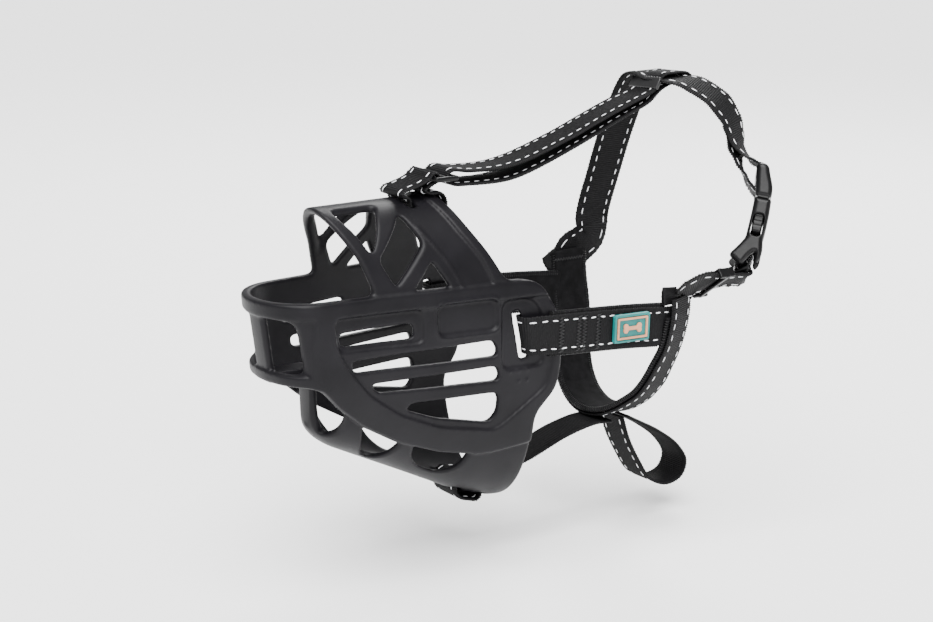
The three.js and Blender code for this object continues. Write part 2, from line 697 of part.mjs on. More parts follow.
// Label on the left cheek strap: a rubber patch with a raised frame and a bone.
const labelPlace = placed(
  new THREE.Vector3(46.1, 57.5, 10),
  new THREE.Vector3(0, 0.998, -0.06),
  new THREE.Vector3(0, 0.06, 0.998),
  new THREE.Vector3(1, 0, 0),
);
const patch = prism([[-11.2, -7.4], [11.2, -7.4], [11.2, 7.4], [-11.2, 7.4]], 1.8, 1.2);
add("label_patch", patch, teal, labelPlace);
const frameOut = toSolid(prism([[-9.2, -5.6], [9.2, -5.6], [9.2, 5.6], [-9.2, 5.6]], 0.7, 0.8));
const frameIn = toSolid(prism([[-8, -4.4], [8, -4.4], [8, 4.4], [-8, 4.4]], 2, 0.5)).translate([0, 0, -0.5]);
add("label_frame", toGeometry(frameOut.subtract(frameIn)), cream, labelPlace).position.z = 2.1;
const bonePieces = [block(0, 0, 0.35, 8, 1.8, 0.7)];
for (const [x, y] of [[-4, 1], [-4, -1], [4, 1], [4, -1]]) {
  const knob = new THREE.CylinderGeometry(1.35, 1.35, 0.7, 12).rotateX(Math.PI / 2);
  bonePieces.push(toSolid(knob.translate(x, y, 0.35)));
}
add("label_bone", toGeometry(joined(bonePieces)), cream, labelPlace).position.z = 2.1;

export default root;
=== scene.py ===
# The looks of the basket muzzle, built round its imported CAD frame.
# Lengths in the tables are millimetres and are turned into metres when a mesh is made.
# The nose points to -Y, up is +Z and the dog's left is +X, as in the frame.
import math

import bpy
import numpy as np
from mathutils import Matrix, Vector


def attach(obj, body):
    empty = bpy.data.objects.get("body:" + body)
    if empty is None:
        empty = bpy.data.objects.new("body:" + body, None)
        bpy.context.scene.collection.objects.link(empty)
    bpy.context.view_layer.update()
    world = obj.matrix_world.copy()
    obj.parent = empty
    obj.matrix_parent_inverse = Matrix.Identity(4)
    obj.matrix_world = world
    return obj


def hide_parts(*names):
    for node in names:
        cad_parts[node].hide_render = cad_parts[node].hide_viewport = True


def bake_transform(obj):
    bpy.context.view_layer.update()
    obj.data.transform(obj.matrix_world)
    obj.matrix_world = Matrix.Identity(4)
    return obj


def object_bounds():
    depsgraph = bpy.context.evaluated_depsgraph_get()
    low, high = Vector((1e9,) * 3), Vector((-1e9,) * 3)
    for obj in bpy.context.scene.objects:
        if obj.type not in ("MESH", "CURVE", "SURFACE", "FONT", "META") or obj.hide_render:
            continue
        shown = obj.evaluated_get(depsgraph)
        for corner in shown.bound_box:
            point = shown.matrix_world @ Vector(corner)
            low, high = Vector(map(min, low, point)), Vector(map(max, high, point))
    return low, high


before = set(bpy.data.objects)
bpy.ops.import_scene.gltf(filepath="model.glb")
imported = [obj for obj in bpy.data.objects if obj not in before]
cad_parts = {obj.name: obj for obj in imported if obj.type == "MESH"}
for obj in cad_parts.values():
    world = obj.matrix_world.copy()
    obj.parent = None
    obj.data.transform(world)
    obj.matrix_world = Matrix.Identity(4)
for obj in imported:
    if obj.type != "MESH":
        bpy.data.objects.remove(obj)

CAD_BOX = [list(corner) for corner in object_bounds()]
MM = 0.001

# Camera, floor and light, in degrees, metres and watts. The collar loop swings through the floor's gap.
CAMERA_AZIMUTH = 56
CAMERA_ELEVATION = 14
CAMERA_TARGET = (0, -0.005, 0.017)
LENS = 81
FLOOR_GAP = 0.014
FLOOR_SHADE = 0.96
WORLD_STRENGTH = 0.65
SUN_SPREAD = 50
SUN_STRENGTH = 7.5
SIDE_LIGHT_POWER = 12
BACK_LIGHT_POWER = 14

# Basket, as in the CAD
RIM_Z = 39.0
WIDEST_Z = 8.0
TOP_Z = 76.3
WALL = 3.6
RAISED = 1.2
SUNK = 1.2
NOSE_START_Y = -96.0
NOSE_LENGTH = 24.5
NOSE_LEAN = 0.14
CHIN_START_Y = -72.0
CHIN_LENGTH = 22.5
NOSE_POWER = 2.2
HEIGHT_POWER = 2.6
SPINE_HALF = 6.0
PLAN = [(-127, 26.5), (-97, 28.5), (-72, 31), (-43, 36), (-8, 40.5), (22, 43.8)]
UNDERSIDE = [
    (-97, -20), (-94, -26), (-90, -31), (-84, -35.5), (-43, -55.5), (-18, -68), (0, -74.5), (22, -76),
]
BASKET_GRID = 0.75

# Webbing
WEB_WIDTH = 20.0
WEB = 1.5
RIB_PITCH = 1.05
RIB_HEIGHT = 0.18
POINTS_PER_RIB = 4
CHEEK_WIDTH = 18.8
LINING_WIDTH = 21.2
LINING = 2.6

# Stitches. A flatness of 1 is a round thread.
STITCH_ROW = 6.7
STITCH_PITCH = 5.6
STITCH_LENGTH = 2.8
STITCH_START = 1.5
STITCH_RADIUS = 0.36
STITCH_FLATNESS = 0.55
TACK_REACH = 8.6
TACK_PITCH = 0.8
THREAD_FLATNESS = 0.9
OVERLOCK_PITCH = 1.25
OVERLOCK_BITE = 2.2
OVERLOCK_RADIUS = 0.3


# -------- camera, floor and light

def aimed(data, eye, target):
    """A camera or a light at eye that looks at target."""
    thing = bpy.data.objects.new(data.name, data)
    thing.location = eye
    thing.rotation_euler = (Vector(target) - Vector(eye)).to_track_quat("-Z", "Y").to_euler()
    bpy.context.scene.collection.objects.link(thing)
    return thing


def add_camera():
    """A camera one metre from the muzzle, where the photo was taken from."""
    azimuth = math.radians(CAMERA_AZIMUTH)
    elevation = math.radians(CAMERA_ELEVATION)
    target = Vector(CAMERA_TARGET)
    direction = Vector((
        math.sin(azimuth) * math.cos(elevation),
        -math.cos(azimuth) * math.cos(elevation),
        math.sin(elevation),
    ))
    camera = bpy.data.cameras.new("camera")
    camera.sensor_width = 36
    camera.lens = LENS
    bpy.context.scene.camera = aimed(camera, target + direction, target)


def add_light(name, eye, size, power):
    light = bpy.data.lights.new(name, "AREA")
    light.shape = "DISK"
    light.size = size
    light.energy = power
    aimed(light, eye, (0, 0.02, 0.01))


def add_sun():
    """Even light from a wide part of the ceiling."""
    sun = bpy.data.lights.new("ceiling_light", "SUN")
    sun.angle = math.radians(SUN_SPREAD)
    sun.energy = SUN_STRENGTH
    aimed(sun, (0.35, -0.3, 1.0), (0, 0, 0))


def add_stage(floor_z):
    """A pale floor, and a white world that fills the shadows."""
    bpy.ops.mesh.primitive_plane_add(size=30, location=(0, 0, floor_z))
    floor = bpy.context.object
    floor.name = "floor"
    pale = bpy.data.materials.new("pale_floor")
    pale.use_nodes = True
    shader = pale.node_tree.nodes["Principled BSDF"]
    shader.inputs["Base Color"].default_value = (FLOOR_SHADE, FLOOR_SHADE, FLOOR_SHADE, 1)
    shader.inputs["Roughness"].default_value = 0.9
    floor.data.materials.append(pale)
    world = bpy.data.worlds.new("studio")
    world.use_nodes = True
    world.node_tree.nodes["Background"].inputs["Color"].default_value = (1, 1, 1, 1)
    world.node_tree.nodes["Background"].inputs["Strength"].default_value = WORLD_STRENGTH
    bpy.context.scene.world = world


# -------- materials

class Nodes:
    """A material's node tree with short calls to build it."""

    def __init__(self, name):
        self.material = bpy.data.materials.new(name)
        self.material.use_nodes = True
        self.tree = self.material.node_tree
        self.shader = self.tree.nodes["Principled BSDF"]
        self.coords = self.tree.nodes.new("ShaderNodeTexCoord").outputs["Object"]

    def set(self, **values):
        for name, value in values.items():
            self.shader.inputs[name.replace("_", " ")].default_value = value

    def noise(self, scale, detail=3.0, source=None):
        node = self.tree.nodes.new("ShaderNodeTexNoise")
        node.inputs["Scale"].default_value = scale
        node.inputs["Detail"].default_value = detail
        self.tree.links.new(source or self.coords, node.inputs["Vector"])
        return node.outputs["Fac"]

    def ramp(self, source, low, high, start=0.35, end=0.65):
        node = self.tree.nodes.new("ShaderNodeValToRGB")
        node.color_ramp.elements[0].position = start
        node.color_ramp.elements[1].position = end
        node.color_ramp.elements[0].color = (*low, 1)
        node.color_ramp.elements[1].color = (*high, 1)
        self.tree.links.new(source, node.inputs["Fac"])
        return node.outputs["Color"]

    def spread(self, source, low, high):
        node = self.tree.nodes.new("ShaderNodeMapRange")
        node.inputs["To Min"].default_value = low
        node.inputs["To Max"].default_value = high
        self.tree.links.new(source, node.inputs["Value"])
        return node.outputs["Result"]

    def add(self, a, b):
        node = self.tree.nodes.new("ShaderNodeMath")
        node.operation = "ADD"
        self.tree.links.new(a, node.inputs[0])
        self.tree.links.new(b, node.inputs[1])
        return node.outputs[0]

    def bump(self, source, distance, strength=1.0):
        node = self.tree.nodes.new("ShaderNodeBump")
        node.inputs["Distance"].default_value = distance
        node.inputs["Strength"].default_value = strength
        self.tree.links.new(source, node.inputs["Height"])
        self.tree.links.new(node.outputs["Normal"], self.shader.inputs["Normal"])

    def link(self, source, name):
        self.tree.links.new(source, self.shader.inputs[name])

    def coat(self, shade, dark, light, dullness, low, high):
        """Colour from dark to light and roughness from low to high, each by its own noise."""
        self.link(self.ramp(self.noise(*shade), dark, light), "Base Color")
        self.link(self.spread(self.noise(*dullness), low, high), "Roughness")


def rubber_material():
    """Satin moulded rubber: a fine spark-eroded grain, slightly uneven shade and duller patches."""
    m = Nodes("moulded_rubber")
    m.coat((38, 4), (0.0035, 0.0032, 0.0042), (0.0065, 0.006, 0.0075), (60, 5), 0.36, 0.5)
    m.bump(m.add(m.noise(2600, 2), m.noise(900, 3)), 0.00006, 0.5)
    m.set(Specular_IOR_Level=0.14)
    return m.material


def webbing_material():
    """Black woven ribbon: ribs across it and single yarns within each rib, with a painted highlight on
    the yarn tops.
    """
    m = Nodes("black_webbing")
    along = m.tree.nodes.new("ShaderNodeUVMap")
    along.uv_map = "strap"
    stretch = m.tree.nodes.new("ShaderNodeMapping")
    stretch.inputs["Scale"].default_value = (1.0, 0.22, 1.0)
    m.tree.links.new(along.outputs["UV"], stretch.inputs["Vector"])
    yarn_height_and_highlight = m.noise(2400, 3, stretch.outputs["Vector"])
    # The colour follows the bump's noise. It varies from yarn to yarn and is lighter where the yarns
    # stand highest, which is a painted highlight on the yarn tops.
    m.link(m.ramp(yarn_height_and_highlight, (0.001, 0.001, 0.0012), (0.005, 0.0048, 0.0055), 0.3, 0.7), "Base Color")
    m.link(m.spread(m.noise(900, 3), 0.55, 0.75), "Roughness")
    m.bump(yarn_height_and_highlight, 0.00014, 0.9)
    m.set(Specular_IOR_Level=0.16)
    return m.material


def neoprene_material():
    """Foam with a matt knitted face."""
    m = Nodes("black_neoprene")
    m.coat((220, 5), (0.0015, 0.0015, 0.0017), (0.005, 0.0048, 0.0054), (400, 3), 0.8, 0.98)
    m.bump(m.add(m.noise(3000, 2), m.noise(1100, 2)), 0.0001, 0.6)
    m.set(Specular_IOR_Level=0.12)
    return m.material


def reflective_thread_material():
    """Pale grey retro-reflective yarn."""
    m = Nodes("reflective_thread")
    m.coat((900, 3), (0.62, 0.63, 0.66), (0.92, 0.92, 0.93), (1500, 2), 0.3, 0.55)
    m.bump(m.noise(5000, 1), 0.00005, 0.6)
    return m.material


def sewing_thread_material():
    """Black bonded nylon thread, slightly glossy."""
    m = Nodes("black_thread")
    m.coat((1200, 2), (0.001, 0.001, 0.0012), (0.008, 0.008, 0.009), (2000, 2), 0.3, 0.5)
    m.bump(m.noise(6000, 1), 0.00004, 0.6)
    m.set(Specular_IOR_Level=0.3)
    return m.material


def satin_material():
    """Smooth black satin tape."""
    m = Nodes("black_satin")
    m.coat((260, 4), (0.0015, 0.0015, 0.0018), (0.005, 0.0048, 0.0055), (500, 3), 0.3, 0.45)
    m.bump(m.noise(2400, 2), 0.00004, 0.5)
    return m.material


def plastic_material():
    """Black acetal: satin, with a fine moulded grain."""
    m = Nodes("black_plastic")
    m.coat((90, 4), (0.0015, 0.0015, 0.0017), (0.004, 0.0038, 0.0043), (160, 4), 0.28, 0.42)
    m.bump(m.noise(2200, 2), 0.00004, 0.4)
    m.set(Specular_IOR_Level=0.2)
    return m.material


def soft_colour_material(name, dark, light):
    """Soft moulded rubber of a label."""
    m = Nodes(name)
    m.coat((150, 4), dark, light, (400, 3), 0.4, 0.58)
    m.bump(m.noise(1800, 2), 0.00004, 0.4)
    m.set(Subsurface_Weight=0.05, Subsurface_Radius=(0.001, 0.001, 0.001))
    return m.material


# -------- meshes

def mesh_object(name, points, faces, material, body):
    """A smooth object from points in millimetres. It rides on body, unless body is None."""
    mesh = bpy.data.meshes.new(name)
    faces = faces.tolist() if isinstance(faces, np.ndarray) else faces
    mesh.from_pydata((np.asarray(points, float) * MM).tolist(), [], faces)
    mesh.update()
    mesh.polygons.foreach_set("use_smooth", np.ones(len(mesh.polygons), bool))
    mesh.materials.append(material)
    thing = bpy.data.objects.new(name, mesh)
    bpy.context.scene.collection.objects.link(thing)
    if body:
        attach(thing, body)
    return thing


def rounded(outline, radius, steps=5):
    """An outline with each corner rounded by a short curve."""
    points = np.array(outline, float)
    result = []
    for i, corner in enumerate(points):
        before, after = points[i - 1], points[(i + 1) % len(points)]
        back = np.linalg.norm(before - corner)
        ahead = np.linalg.norm(after - corner)
        start = corner + (before - corner) * min(radius, back * 0.45) / back
        end = corner + (after - corner) * min(radius, ahead * 0.45) / ahead
        for t in np.linspace(0, 1, steps):
            result.append((1 - t) ** 2 * start + 2 * t * (1 - t) * corner + t ** 2 * end)
    return np.array(result)


def outline_distance(u, v, outline):
    """Signed distance to a closed outline, negative inside it."""
    points = np.array(outline, float)
    nearest = np.full(np.broadcast(u, v).shape, 1e12)
    inside = np.zeros(nearest.shape, bool)
    for (u0, v0), (u1, v1) in zip(points, np.roll(points, -1, axis=0)):
        du, dv = u1 - u0, v1 - v0
        t = np.clip(((u - u0) * du + (v - v0) * dv) / max(du * du + dv * dv, 1e-12), 0, 1)
        nearest = np.minimum(nearest, (u - u0 - t * du) ** 2 + (v - v0 - t * dv) ** 2)
        if abs(dv) > 1e-12:
            inside ^= ((v0 > v) != (v1 > v)) & (u < du * (v - v0) / dv + u0)
    return np.where(inside, -1, 1) * np.sqrt(nearest)


def path_distance(u, v, path):
    """Distance to an open path."""
    nearest = np.full(np.broadcast(u, v).shape, 1e12)
    for (u0, v0), (u1, v1) in zip(path, path[1:]):
        du, dv = u1 - u0, v1 - v0
        t = np.clip(((u - u0) * du + (v - v0) * dv) / (du * du + dv * dv), 0, 1)
        nearest = np.minimum(nearest, (u - u0 - t * du) ** 2 + (v - v0 - t * dv) ** 2)
    return np.sqrt(nearest)


def both(a, b, radius):
    """What is inside both fields, with the edge where they meet rounded."""
    edge = np.hypot(np.maximum(a + radius, 0), np.maximum(b + radius, 0))
    return np.minimum(-radius, np.maximum(a, b)) + edge


def cut(a, b, radius):
    """Field a without field b, with a rounded edge."""
    return both(a, -b, radius)


def join(a, b, radius):
    """Field a with field b, with a fillet where they meet."""
    return -both(-a, -b, radius)


def step(distance, soft=0.5):
    """1 inside an outline, 0 outside it, with a soft edge."""
    t = np.clip(0.5 - distance / (2 * soft), 0, 1)
    return t * t * (3 - 2 * t)


def rounded_box(x, y, z, centre, half, radius):
    """Signed distance to a box with rounded edges."""
    q = [np.abs(p - c) - h + radius for p, c, h in zip((x, y, z), centre, half)]
    outside = np.sqrt(sum(np.maximum(p, 0) ** 2 for p in q))
    return outside + np.minimum(np.maximum(np.maximum(q[0], q[1]), q[2]), 0) - radius


CORNERS = np.array([(i, j, k) for i in (0, 1) for j in (0, 1) for k in (0, 1)])
EDGES = [
    (a, b) for a in range(8) for b in range(a + 1, 8) if np.abs(CORNERS[a] - CORNERS[b]).sum() == 1
]


def surface(field, origin, grid, relax=3):
    """Points and quads of the zero surface of a field, by surface nets, then lightly smoothed."""
    inside = field < 0
    n = np.array(field.shape) - 1
    count = sum(inside[i:i + n[0], j:j + n[1], k:k + n[2]].astype(np.int8) for i, j, k in CORNERS)
    active = (count > 0) & (count < 8)
    cells = np.argwhere(active)
    number = np.full(active.shape, -1)
    number[active] = np.arange(len(cells))
    values = np.stack([field[tuple((cells + c).T)] for c in CORNERS], axis=1)
    total = np.zeros((len(cells), 3))
    crossings = np.zeros(len(cells))
    for a, b in EDGES:
        crossed = (values[:, a] < 0) != (values[:, b] < 0)
        t = np.where(crossed, values[:, a] / np.where(crossed, values[:, a] - values[:, b], 1), 0)
        total += crossed[:, None] * (CORNERS[a] + t[:, None] * (CORNERS[b] - CORNERS[a]))
        crossings += crossed
    points = np.array(origin) + grid * (cells + total / crossings[:, None])
    quads = []
    for axis in range(3):
        turned = np.moveaxis(inside, axis, 0)
        cell = np.moveaxis(number, axis, 0)
        if axis == 1:
            turned, cell = turned.swapaxes(1, 2), cell.swapaxes(1, 2)
        lower = turned[:-1, 1:-1, 1:-1]
        changed = np.argwhere(lower != turned[1:, 1:-1, 1:-1])
        i, j, k = changed.T
        around = [cell[i, j, k], cell[i, j + 1, k], cell[i, j + 1, k + 1], cell[i, j, k + 1]]
        square = np.stack(around, axis=1)
        outward = lower[i, j, k]
        quads.append(np.where(outward[:, None], square, square[:, ::-1]))
    faces = np.concatenate(quads)
    return relaxed(points, faces, relax), faces


def relaxed(points, faces, rounds):
    """Smoothing that keeps the volume: each round goes a step in and a slightly longer one back out."""
    a = faces.ravel()
    b = np.roll(faces, -1, axis=1).ravel()
    ends = np.concatenate([a, b])
    others = np.concatenate([b, a])
    degree = np.bincount(ends, minlength=len(points))[:, None]
    for _ in range(rounds):
        for amount in (0.5, -0.53):
            totals = [np.bincount(ends, points[others, k], len(points)) for k in range(3)]
            points = points + amount * (np.stack(totals, axis=1) / degree - points)
    return points


def grid_axes(low, high, grid):
    return [np.arange(a, b + grid, grid) for a, b in zip(low, high)]


# -------- the basket

SHIELD_EDGE = [
    (-106, 0.5), (-100, -1.5), (-91.5, -11), (-79, -21.5), (-60, -32.5), (-39, -40), (-22, -43),
]
SHIELD_FACE = [(-103, 39), *SHIELD_EDGE, (-14, -43), (6.5, -40), (30, -20), (30, 39)]
BELOW_SHIELD = [(-130, 0.5), *SHIELD_EDGE, (-22, -90), (-130, -90)]
NOSE_BELTS = [
    [(-130, 31.5), (-95, 31.5), (-95, 39), (-130, 39)],
    [(-130, 0.5), (-98, 0.5), (-98, 6), (-130, 6)],
]
SHIELD_INSIDE = [
    (-94.5, 31), (-93, 17), (-87.5, 6.5), (-77.5, -6), (-62, -17.5), (-42, -26), (-14, -31), (11, -12.5),
    (14.5, 0), (14.5, 31),
]
REAR_EDGE = [
    (6.5, -80), (6.5, -26), (17, -14), (19, -1), (19, 14), (15, 28), (9, 37), (0, 39.5), (-8.5, 39.5),
    (-14.5, 52), (-22, 65), (-28, 80), (-28, 95), (60, 95), (60, -80),
]
SIDE_SLOTS = [
    [(-91, 18), (-56, 18), (-55, 21.5), (-56.5, 25), (-91.5, 24)],
    [(-85, 5.3), (-14.5, 5), (-14, 8.5), (-16.5, 12.8), (-86.5, 10.8)],
    [(-73, -5.5), (-13.5, -6.8), (-13, -3), (-15, 0.3), (-77, -1)],
    [(-59, -15.5), (-44, -21.3), (-17, -27), (-13, -22), (-13, -14.5), (-15, -12.5), (-57, -12.5)],
]
STRAP_SLOT = [(-2.2, 1.8), (2.6, 2.2), (-1.4, 25), (-6, 25)]
STRAP_RECESS = [(-12, -2), (10, -2), (9, 24), (4, 30.5), (-9, 30.5), (-12, 27)]
SLOT_PANEL = [(-93, 16), (-51, 15.5), (-51, 31), (-94, 31)]
BLANK_PANEL = [(-44, 17.5), (-14, 17.5), (-14, 32), (-44, 32)]
NOSE_WINDOW = [(-106, 6), (-126, 6), (-126, 31), (-112, 31), (-109, 28)]
CAGE_DIAMOND = [(-51.5, 71.5), (-45.5, 59), (-62.5, 41.5), (-68.5, 54)]
CAGE_TRIANGLE = [(-43.5, 51.5), (-54, 39.5), (-36.5, 39.5)]
CAGE_FRONT = [(6, -83), (13, -80), (23.5, -71.5), (19, -66.5), (8, -60.5), (6, -62)]
NOSE_OPENING = [(-130, 39), (-73, 39), (-78, 55), (-92, 80), (-130, 80)]
CHIN_HOLES = [
    [(-99, -8), (-96, -20), (-91.5, -27), (-87.5, -27), (-85, -21), (-84, 5), (-99, 5)],
    [(-77.5, 0), (-78, -24), (-73, -37.5), (-66, -42.5), (-61, -38.5), (-57.5, -30), (-57.5, 0)],
    [(-51.5, -20), (-51.5, -40), (-45, -48), (-34, -53), (-27, -50), (-23.5, -41), (-23.5, -20)],
]
ABOVE_CHIN = [
    (-130, 0), (-97, 0), (-84, -8), (-60, -24), (-39, -32), (-20, -36), (40, -36), (40, 90), (-130, 90),
]
RING_LIP = [(-15, 39), (-19, 50), (-27, 63), (-35, 80), (0, 80), (0, 39)]
RING_STEP = [(-30.6, 39), (-35.7, 50), (-41.4, 58.8), (-46, 66)]
SIZE_PIPS = [(-8, -3.5), (-3.5, -3.5), (1, -3.5), (-3.5, -8.5), (1, -8.5)]
# Slots for the top loop and the chin strap: lowest z, highest z, front y, rear y.
CROSS_SLOTS = [(60, 90, -44, -39.5), (-90, -50, -19.5, -15), (-90, -50, -5.5, -1)]
CROSS_SLOT_HALF = 11.5


def eased(table, at, reach=5.0):
    """A table of [place, value] pairs read with its corners eased."""
    places, values = np.array(table, float).T
    return sum(np.interp(at + shift, places, values) for shift in np.linspace(-reach, reach, 7)) / 7


def tube_field(x, y, z, start, length, slope, grid):
    """Distance from the outside of a tube with a blunt nose, negative inside.

    x is one axis of the grid, y and z are planes of it.
    """
    lean = slope * (RIM_Z - z)
    share = lean / length
    station = np.where(y > start, y, (y - share * start) / (1 - share))
    station = np.where(station < start - length, y - lean, station)
    blunt = np.clip((start - station) / length, 0, 3) ** NOSE_POWER
    upper = z > WIDEST_Z
    height = np.where(upper, TOP_Z - WIDEST_Z, WIDEST_Z - eased(UNDERSIDE, station, 2.5))
    rise = np.abs((z - WIDEST_Z) / height) ** HEIGHT_POWER
    width = eased(PLAN, station)
    power = 2 + 0.2 * np.clip((WIDEST_Z - z) / 12, 0, 1)
    product = (1 - blunt) * (1 - rise)
    product = np.where((blunt > 1) & (rise > 1), -product, product)
    field = (x[:, None, None] / width) ** power - product
    slopes = np.gradient(field, grid)
    return field / np.sqrt(sum(s * s for s in slopes) + 1e-9)


def basket_relief(y, z):
    """How far the outer face stands above or below the plain wall."""

    def inside(outline, radius):
        return outline_distance(y, z, rounded(outline, radius))

    border = np.maximum(outline_distance(y, z, SHIELD_FACE), -inside(SHIELD_INSIDE, 4))
    for band in (*NOSE_BELTS, RING_LIP):
        border = np.minimum(border, outline_distance(y, z, band))
    relief = RAISED * step(border, 0.7)
    blank = inside(BLANK_PANEL, 4)
    panels = np.minimum(np.minimum(inside(SLOT_PANEL, 4), blank), inside(STRAP_RECESS, 5))
    sunk = step(panels, 0.7)
    relief = relief * (1 - sunk) - SUNK * sunk
    # A low bead round the plain panel, one along the step of the rear ring, and round pips for the size.
    relief += 0.5 * step(np.abs(blank - 1.2) - 0.6, 0.5)
    relief += 0.45 * step(path_distance(y, z, RING_STEP) - 0.5, 0.6) * (z > RIM_Z)
    for py, pz in SIZE_PIPS:
        relief += 0.6 * step(np.hypot(y - py, z - pz) - 0.7, 0.5)
    return relief


def basket_field(xs, ys, zs, grid):
    """The basket's left half: the shield and cage, the chin cup, and the openings through them."""
    y, z = np.meshgrid(ys, zs, indexing="ij")
    x = xs[:, None, None]
    tall = zs[None, None, :]

    def side(outline, radius):
        return outline_distance(y, z, rounded(outline, radius))[None]

    wall = tube_field(xs, y, z, NOSE_START_Y, NOSE_LENGTH, NOSE_LEAN, grid)
    body = np.maximum(wall - basket_relief(y, z)[None], -(wall + WALL))
    body = cut(body, side(BELOW_SHIELD, 3), 1.3)

    chin = tube_field(xs, y, z, CHIN_START_Y, CHIN_LENGTH, 0.0, grid)
    chin = np.maximum(chin, -(chin + WALL))
    chin = cut(chin, side(ABOVE_CHIN, 3), 0.6)
    for hole in CHIN_HOLES:
        chin = cut(chin, both(side(hole, 6), SPINE_HALF - x, 2.0), 1.5)
    body = np.minimum(body, chin)
    bar = rounded_box(x, ys[None, :, None], tall, (0, -106, 2.3), (SPINE_HALF, 14, 2.0), 1.2)
    body = join(body, both(bar, wall, 1.0), 1.5)

    for slot in SIDE_SLOTS:
        body = cut(body, np.maximum(side(slot, 3.2), 10 - x), 1.0)
    body = cut(body, np.maximum(side(STRAP_SLOT, 2), 20 - x), 0.8)
    body = cut(body, both(side(NOSE_WINDOW, 4), SPINE_HALF - x, 2.0), 1.3)
    body = cut(body, side(NOSE_OPENING, 4), 1.5)
    body = cut(body, both(side(CAGE_DIAMOND, 3), 8 - x, 1.0), 1.5)
    body = cut(body, both(side(CAGE_TRIANGLE, 2), 8 - x, 1.0), 1.4)
    flat_x, flat_y = np.meshgrid(xs, ys, indexing="ij")
    front = outline_distance(flat_x, flat_y, rounded(CAGE_FRONT, 3))[:, :, None]
    body = cut(body, np.maximum(front, 50 - tall), 1.5)
    for low, high, front_y, rear_y in CROSS_SLOTS:
        half = CROSS_SLOT_HALF
        outline = rounded([(-half, front_y), (half, front_y), (half, rear_y), (-half, rear_y)], 1.5)
        slot = outline_distance(flat_x, flat_y, outline)
        body = cut(body, np.maximum(slot[:, :, None], np.maximum(low - tall, tall - high)), 0.8)
    return cut(body, side(REAR_EDGE, 5), 1.5)


def build_basket(material):
    """The basket, from its left half and that half's mirror image."""
    grid = BASKET_GRID
    xs = np.arange(grid / 2, 48, grid)
    _, ys, zs = grid_axes((0, -125, -80), (1, 24, 81), grid)
    half = basket_field(xs, ys, zs, grid)
    field = np.concatenate([half[::-1], half])
    points, faces = surface(field, (-xs[-1], ys[0], zs[0]), grid)
    basket = mesh_object("rubber_basket", points, faces, material, "muzzle")
    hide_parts("basket")


# -------- straps

def unit(v):
    return np.array(v, float) / np.linalg.norm(v)


def hermite(p1, p2, m1, m2, t):
    """The point at share t of a curve from p1 to p2 that leaves along m1 and arrives along m2."""
    square = t * t
    cube = t * t * t
    start = (2 * cube - 3 * square + 1) * p1 + (cube - 2 * square + t) * m1
    return start + (3 * square - 2 * cube) * p2 + (cube - square) * m2


def spline(route, closed, samples=24):
    """Points on a centripetal Catmull-Rom curve through a route, with the width direction at each."""
    rows = np.array(route, float)
    if closed:
        rows = np.concatenate([rows[-1:], rows, rows[:2]])
    else:
        rows = np.concatenate([2 * rows[:1] - rows[1:2], rows, 2 * rows[-1:] - rows[-2:-1]])
        rows[0, 3:], rows[-1, 3:] = rows[1, 3:], rows[-2, 3:]
    points, widths = [], []
    for i in range(1, len(rows) - 2):
        p0, p1, p2, p3 = (rows[i + k, :3] for k in (-1, 0, 1, 2))
        spans = ((p0, p1), (p1, p2), (p2, p3))
        t0, t1, t2 = (max(np.linalg.norm(b - a), 1e-4) ** 0.5 for a, b in spans)
        m1 = ((p1 - p0) / t0 - (p2 - p0) / (t0 + t1) + (p2 - p1) / t1) * t1
        m2 = ((p2 - p1) / t1 - (p3 - p1) / (t1 + t2) + (p3 - p2) / t2) * t1
        for t in np.arange(samples) / samples:
            points.append(hermite(p1, p2, m1, m2, t))
            ease = 3 * (t * t) - 2 * (t * t * t)
            widths.append((1 - ease) * rows[i, 3:] + ease * rows[i + 1, 3:])
    points.append(rows[-2, :3])
    widths.append(rows[-2, 3:])
    return np.array(points), np.array(widths)


class Track:
    """The path of a strap: its middle, width direction and outward direction at each length along it."""

    def __init__(self, route, closed=False, seed=0.0):
        self.points, self.widths = spline(route, closed)
        self.closed = closed
        self.seed = seed
        steps = np.linalg.norm(np.diff(self.points, axis=0), axis=1)
        self.lengths = np.concatenate([[0], np.cumsum(steps)])
        self.length = self.lengths[-1]

    def at(self, s):
        """The middle, the width direction and the outward direction at lengths s."""
        s = self.kept(s)
        middle = self.pick(self.points, s)
        ahead = self.pick(self.points, self.kept(s + 0.3))
        along = ahead - self.pick(self.points, self.kept(s - 0.3))
        along /= np.linalg.norm(along, axis=1)[:, None]
        width = self.pick(self.widths, s)
        width -= along * (width * along).sum(1)[:, None]
        width /= np.linalg.norm(width, axis=1)[:, None]
        return middle, width, np.cross(along, width)

    def kept(self, s):
        """Lengths s brought back onto the track."""
        return np.mod(s, self.length) if self.closed else np.clip(s, 0, self.length)

    def pick(self, rows, s):
        return np.stack([np.interp(s, self.lengths, rows[:, k]) for k in range(3)], axis=1)

    def place(self, s, across, out):
        """Points at length s, this far across from the middle and this far out from the face."""
        middle, width, up = self.at(s)
        return middle + width * np.asarray(across)[:, None] + up * (out + self.drift(s, across))[:, None]

    def drift(self, s, across):
        """Small slow bends and cupping that real webbing has. They fade out at the ends."""
        bend = np.sin(s / 9.1 + self.seed) * 0.16 + np.sin(s / 4.3 + 2.1 * self.seed) * 0.07
        fade = np.clip(np.minimum(s, self.length - s) / 6, 0, 1)
        return bend * fade * (1 - 3 * (across / WEB_WIDTH) ** 2)


# Half of a strap's outline: share of the width, share of half the thickness.
EDGE_PROFILE = [
    (-0.5, 0.0), (-0.492, 0.62), (-0.46, 0.96), (-0.3, 1.0), (-0.1, 1.0), (0.1, 1.0), (0.3, 1.0),
    (0.46, 0.96), (0.492, 0.62),
]


